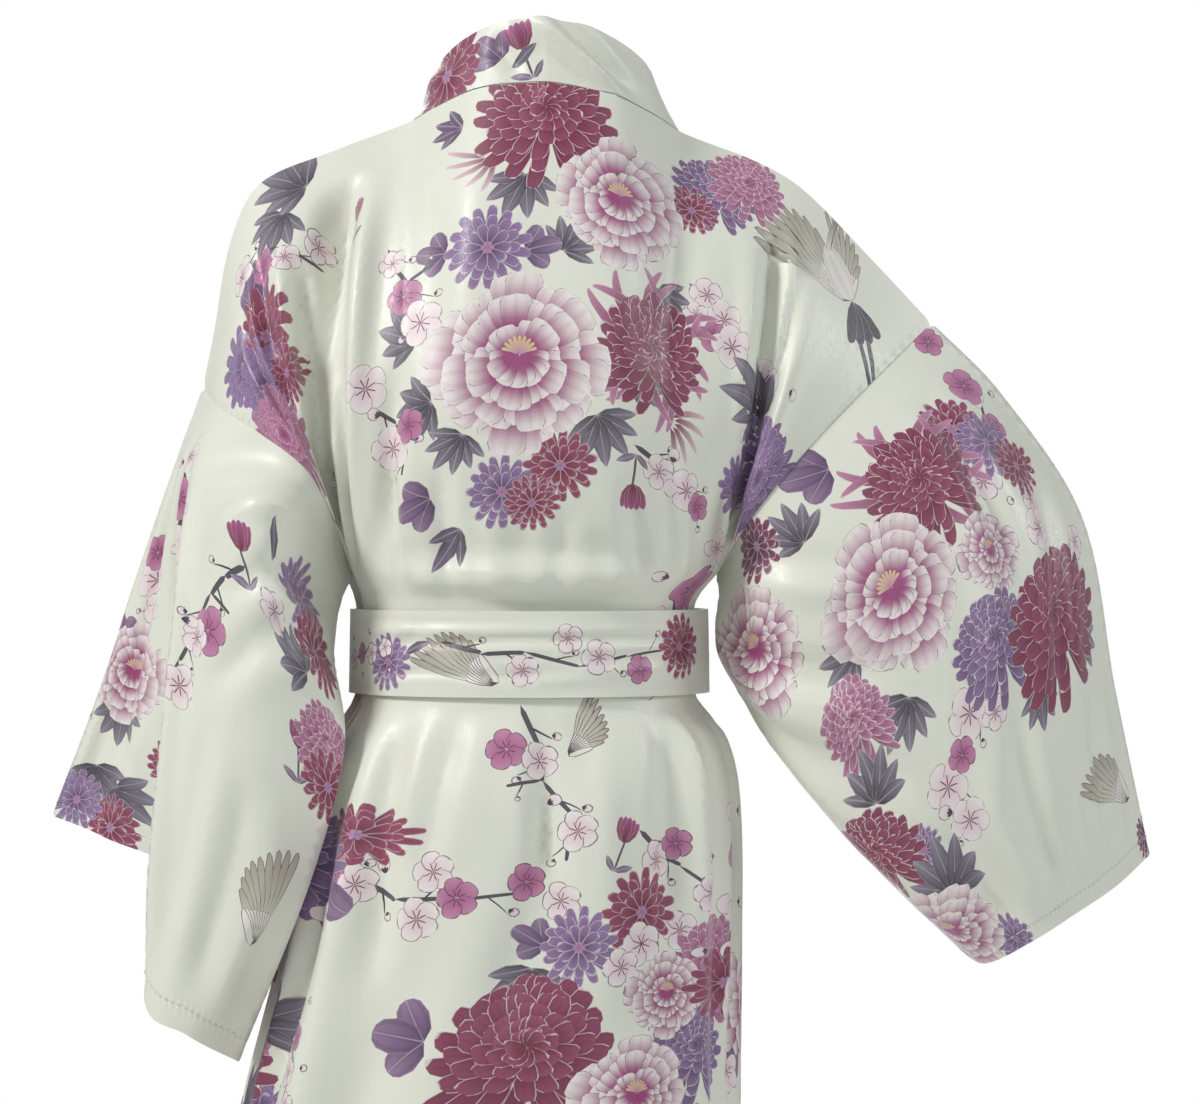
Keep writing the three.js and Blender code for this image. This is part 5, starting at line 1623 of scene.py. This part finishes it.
def stitch_mesh(runs):
    """Spindles r(t) = thick sqrt(1 - t^2) along x, at points of each run: surface, x from, x to, y."""
    t = np.array([-0.6, 0, 0.6])
    a = np.linspace(0, 2 * np.pi, 5, endpoint=False)
    r = STITCH_THICK * np.sqrt(1 - t[:, None] ** 2)
    body = np.stack([t[:, None] + a * 0, r * np.cos(a), r * np.sin(a)], axis=2).reshape(-1, 3)
    body = np.concatenate([body, [[-1, 0, 0], [1, 0, 0]]]) * (STITCH_LONG / 2, 1, 1)
    ring, nxt = np.arange(5), (np.arange(5) + 1) % 5
    faces = [[i, i + 5, j + 5, j] for i, j in zip([*ring, *ring + 5], [*nxt, *nxt + 5])]
    faces += [[15, i, j] for i, j in zip(ring, nxt)] + [[16, j + 10, i + 10] for i, j in zip(ring, nxt)]
    places, all_faces, start = [], [], 0
    for surface, x0, x1, y in runs:
        x = np.arange(x0, x1, STITCH_EVERY)
        y = np.full(len(x), y) + 0.3 * np.sin(x)
        zero = np.zeros(len(x))
        seat = surface(x, y, zero)
        ex = unit(surface(x + 1, y, zero) - surface(x - 1, y, zero))
        ez = unit(surface(x, y, zero + 1) - seat)
        ey = np.cross(ez, ex)
        axes = np.stack([ex, ey, ez], axis=1)
        places.append((seat[:, None] + np.einsum("vk,nkc->nvc", body, axes)).reshape(-1, 3))
        steps = start + 17 * np.arange(len(x))
        all_faces += [[v + k for v in face] for k in steps.tolist() for face in faces]
        start += 17 * len(x)
    mesh = bpy.data.meshes.new("hem_stitches")
    mesh.from_pydata((np.concatenate(places) * METRES).tolist(), [], all_faces)
    mesh.shade_smooth()
    return mesh


hem_y, cuff_y = STITCH_UP - BODY_LENGTH, STITCH_UP - SLEEVE_LENGTH
stitches = piece_of("hem_stitches", stitch_mesh([
    (back_surface, -300, 300, hem_y),
    (left_surface, -60, 300, hem_y),
    (right_surface, -300, 60, hem_y),
    (sleeve_surfaces["left"], -280, 280, cuff_y),
    (sleeve_surfaces["right"], -280, 280, cuff_y),
]))

# %% [markdown]
# ## Satin, print and thread
#
# Satin's threads float over the surface, so it shines softly and broadly. The material is a Principled
# shader with middling roughness and a little sheen. Two node groups feed it. One reads the print from
# the corners: the petal's colour, its outline, its streaks. The other gives the weave's grain and the
# slight crumple that keeps a highlight from being even, and puckers the cloth along a stitched hem.

# %% Short calls for nodes


def add(tree, kind, inputs=None, **settings):
    """A new node; each input gets a value, or a link if it is given another node's socket."""
    node = tree.nodes.new(kind)
    for key, value in settings.items():
        setattr(node, key, value)
    for key, value in (inputs or {}).items():
        if isinstance(value, bpy.types.NodeSocket):
            tree.links.new(value, node.inputs[key])
        else:
            node.inputs[key].default_value = value
    node.location = (180 * (len(tree.nodes) % 12), -260 * (len(tree.nodes) // 12))
    return node


def calc(tree, operation, *values):
    """A Math node's result."""
    return add(tree, "ShaderNodeMath", dict(enumerate(values)), operation=operation).outputs[0]


def ramp(tree, value, low, high, at_low=0.0, at_high=1.0):
    """at_low up to low, at_high from high on, smooth between."""
    inputs = {0: value, 1: low, 2: high, 3: at_low, 4: at_high}
    return add(tree, "ShaderNodeMapRange", inputs, interpolation_type="SMOOTHSTEP").outputs[0]


def blend(tree, factor, under, over, way="MIX"):
    """Two colours mixed by factor."""
    inputs = {0: factor, 6: under, 7: over}
    return add(tree, "ShaderNodeMix", inputs, data_type="RGBA", blend_type=way).outputs[2]


def corner_values(tree, name):
    """The three numbers of a corner attribute."""
    vector = add(tree, "ShaderNodeAttribute", attribute_name=name).outputs["Vector"]
    return add(tree, "ShaderNodeSeparateXYZ", {0: vector}).outputs


# %% The print's node group
INK, PALE = (0.085, 0.045, 0.075, 1), (0.80, 0.73, 0.72, 1)
STREAK, RIB, CLOUD = (0.42, 0.26, 0.36, 1), (0.42, 0.38, 0.44, 1), (0.86, 0.87, 0.80, 1)
print_group = bpy.data.node_groups.new("print", "ShaderNodeTree")
print_group.interface.new_socket("Colour", in_out="OUTPUT", socket_type="NodeSocketColor")
number, slope, mixed = (partial(make, print_group) for make in (calc, ramp, blend))
across, half, _ = corner_values(print_group, "petal")
ink, vein, on = corner_values(print_group, "ink")
tint = add(print_group, "ShaderNodeAttribute", attribute_name="tint").outputs["Color"]
distance = number("SUBTRACT", half, number("ABSOLUTE", across))
line = number("MULTIPLY", slope(distance, 0.25, 0.8, 1.0, 0.0), on)
dark_line = number("MULTIPLY", line, number("MAXIMUM", ink, 0.0))
pale_line = number("MULTIPLY", line, number("MAXIMUM", number("MULTIPLY", ink, -1.0), 0.0))
share = number("DIVIDE", across, number("MAXIMUM", half, 0.2))
wave = number("COSINE", number("MULTIPLY", share, 8.5))
streak = number("MULTIPLY", slope(wave, -0.2, 1.0), vein)
midrib = slope(number("ABSOLUTE", across), 0.2, 0.65, 1.0, 0.0)
rib = number("MULTIPLY", midrib, slope(vein, 0.6, 0.8))
colour = mixed(number("MULTIPLY", streak, 0.35), tint, STREAK, "MULTIPLY")
colour = mixed(number("MULTIPLY", rib, 0.7), colour, RIB)
colour = mixed(pale_line, colour, PALE)
colour = mixed(dark_line, colour, INK)
place = add(print_group, "ShaderNodeTexCoord").outputs["Object"]
cloud = add(print_group, "ShaderNodeTexNoise", {"Vector": place, "Scale": 26.0, "Detail": 3.0}).outputs[0]
colour = mixed(slope(cloud, 0.3, 0.7, 0.0, 0.10), colour, CLOUD, "MULTIPLY")
out = add(print_group, "NodeGroupOutput")
print_group.links.new(colour, out.inputs["Colour"])
print("print group:", len(print_group.nodes), "nodes")

# %% The satin's node group
satin_group = bpy.data.node_groups.new("satin", "ShaderNodeTree")
satin_group.interface.new_socket("Stitched", in_out="INPUT", socket_type="NodeSocketFloat")
satin_group.interface.new_socket("Height", in_out="OUTPUT", socket_type="NodeSocketFloat")
satin_group.interface.new_socket("Roughness", in_out="OUTPUT", socket_type="NodeSocketFloat")
number, slope = (partial(make, satin_group) for make in (calc, ramp))
stitched = add(satin_group, "NodeGroupInput").outputs["Stitched"]
place = add(satin_group, "ShaderNodeTexCoord").outputs["Object"]
drawn = add(satin_group, "ShaderNodeMapping", {"Vector": place, "Scale": (1.0, 1.0, 0.3)}).outputs[0]
weave = add(satin_group, "ShaderNodeTexNoise", {"Vector": drawn, "Scale": 850.0, "Detail": 2.0}).outputs[0]
crumple = add(satin_group, "ShaderNodeTexNoise",
              {"Vector": drawn, "Scale": 42.0, "Detail": 3.0, "Roughness": 0.45}).outputs[0]
cut_x, _, edge_mm = corner_values(satin_group, "cut")
from_stitch = number("ABSOLUTE", number("SUBTRACT", edge_mm, STITCH_UP))
pucker = number("COSINE", number("MULTIPLY", cut_x, 2 * math.pi / STITCH_EVERY))
pucker = number("MULTIPLY", pucker, slope(from_stitch, 0.0, 7.0, 0.5, 0.0))
pucker = number("SUBTRACT", pucker, slope(from_stitch, 0.0, 1.6, 1.0, 0.0))
pucker = number("MULTIPLY", pucker, stitched)
height = number("ADD", number("MULTIPLY", weave, 0.10), number("MULTIPLY", crumple, 1.5))
height = number("ADD", height, pucker)
out = add(satin_group, "NodeGroupOutput")
satin_group.links.new(height, out.inputs["Height"])
satin_group.links.new(slope(weave, 0.3, 0.7, 0.36, 0.50), out.inputs["Roughness"])
print("satin group:", len(satin_group.nodes), "nodes")


# %% Materials
def satin(name, print_on=True, stitched=1.0, tint=GROUND, sheen=0.35):
    """Satin with or without the print, with puckered hems or without."""
    material = bpy.data.materials.new(name)
    material.use_nodes = True
    tree = material.node_tree
    shader = tree.nodes["Principled BSDF"]
    shader.inputs["Base Color"].default_value = (*tint, 1)
    shader.inputs["Specular IOR Level"].default_value = 0.55
    shader.inputs["Sheen Weight"].default_value = sheen
    shader.inputs["Sheen Roughness"].default_value = 0.4
    grain = add(tree, "ShaderNodeGroup", node_tree=satin_group)
    grain.inputs["Stitched"].default_value = stitched
    bump = add(tree, "ShaderNodeBump", {"Height": grain.outputs["Height"], "Strength": 0.5,
                                        "Distance": 0.0006})
    tree.links.new(bump.outputs[0], shader.inputs["Normal"])
    tree.links.new(grain.outputs["Roughness"], shader.inputs["Roughness"])
    if print_on:
        motif = add(tree, "ShaderNodeGroup", node_tree=print_group)
        tree.links.new(motif.outputs["Colour"], shader.inputs["Base Color"])
    return material


hemmed = satin("printed_satin_hemmed")
strip = satin("printed_satin_strip", stitched=0.0)
plain = satin("plain_satin", print_on=False, stitched=0.0)
thread = satin("thread", print_on=False, stitched=0.0, tint=(0.60, 0.62, 0.52), sheen=0.1)
for piece, material in (
    (back, hemmed), (front_left, hemmed), (front_right, hemmed), (sleeves["left"], hemmed),
    (sleeves["right"], hemmed), (neckband, strip), (sash, strip), (tails[0], strip),
    (tails[1], strip), (knot, plain), (stitches, thread),
):
    piece.data.materials.append(material)
print("materials:", ", ".join(m.name for m in (hemmed, strip, plain, thread)))

# %% [markdown]
# ## What each piece is
#
# Each piece takes the place of its solid in the model, and the solid is hidden.

# %% Replacements
for piece, node, slot in (
    (back, "back", "cloth"), (front_left, "front_left", "cloth"), (front_right, "front_right", "cloth"),
    (sleeves["left"], "sleeve_left", "cloth"), (sleeves["right"], "sleeve_right", "cloth"),
    (neckband, "neckband", "band"), (sash, "sash", "band"), (knot, "sash_knot", "band"),
    (tails[0], "sash_end_left", "band"), (tails[1], "sash_end_right", "band"),
):
    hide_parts(node)

print("sheets:", 5 + 2 + len(tails), "and one knot, with their stitches")
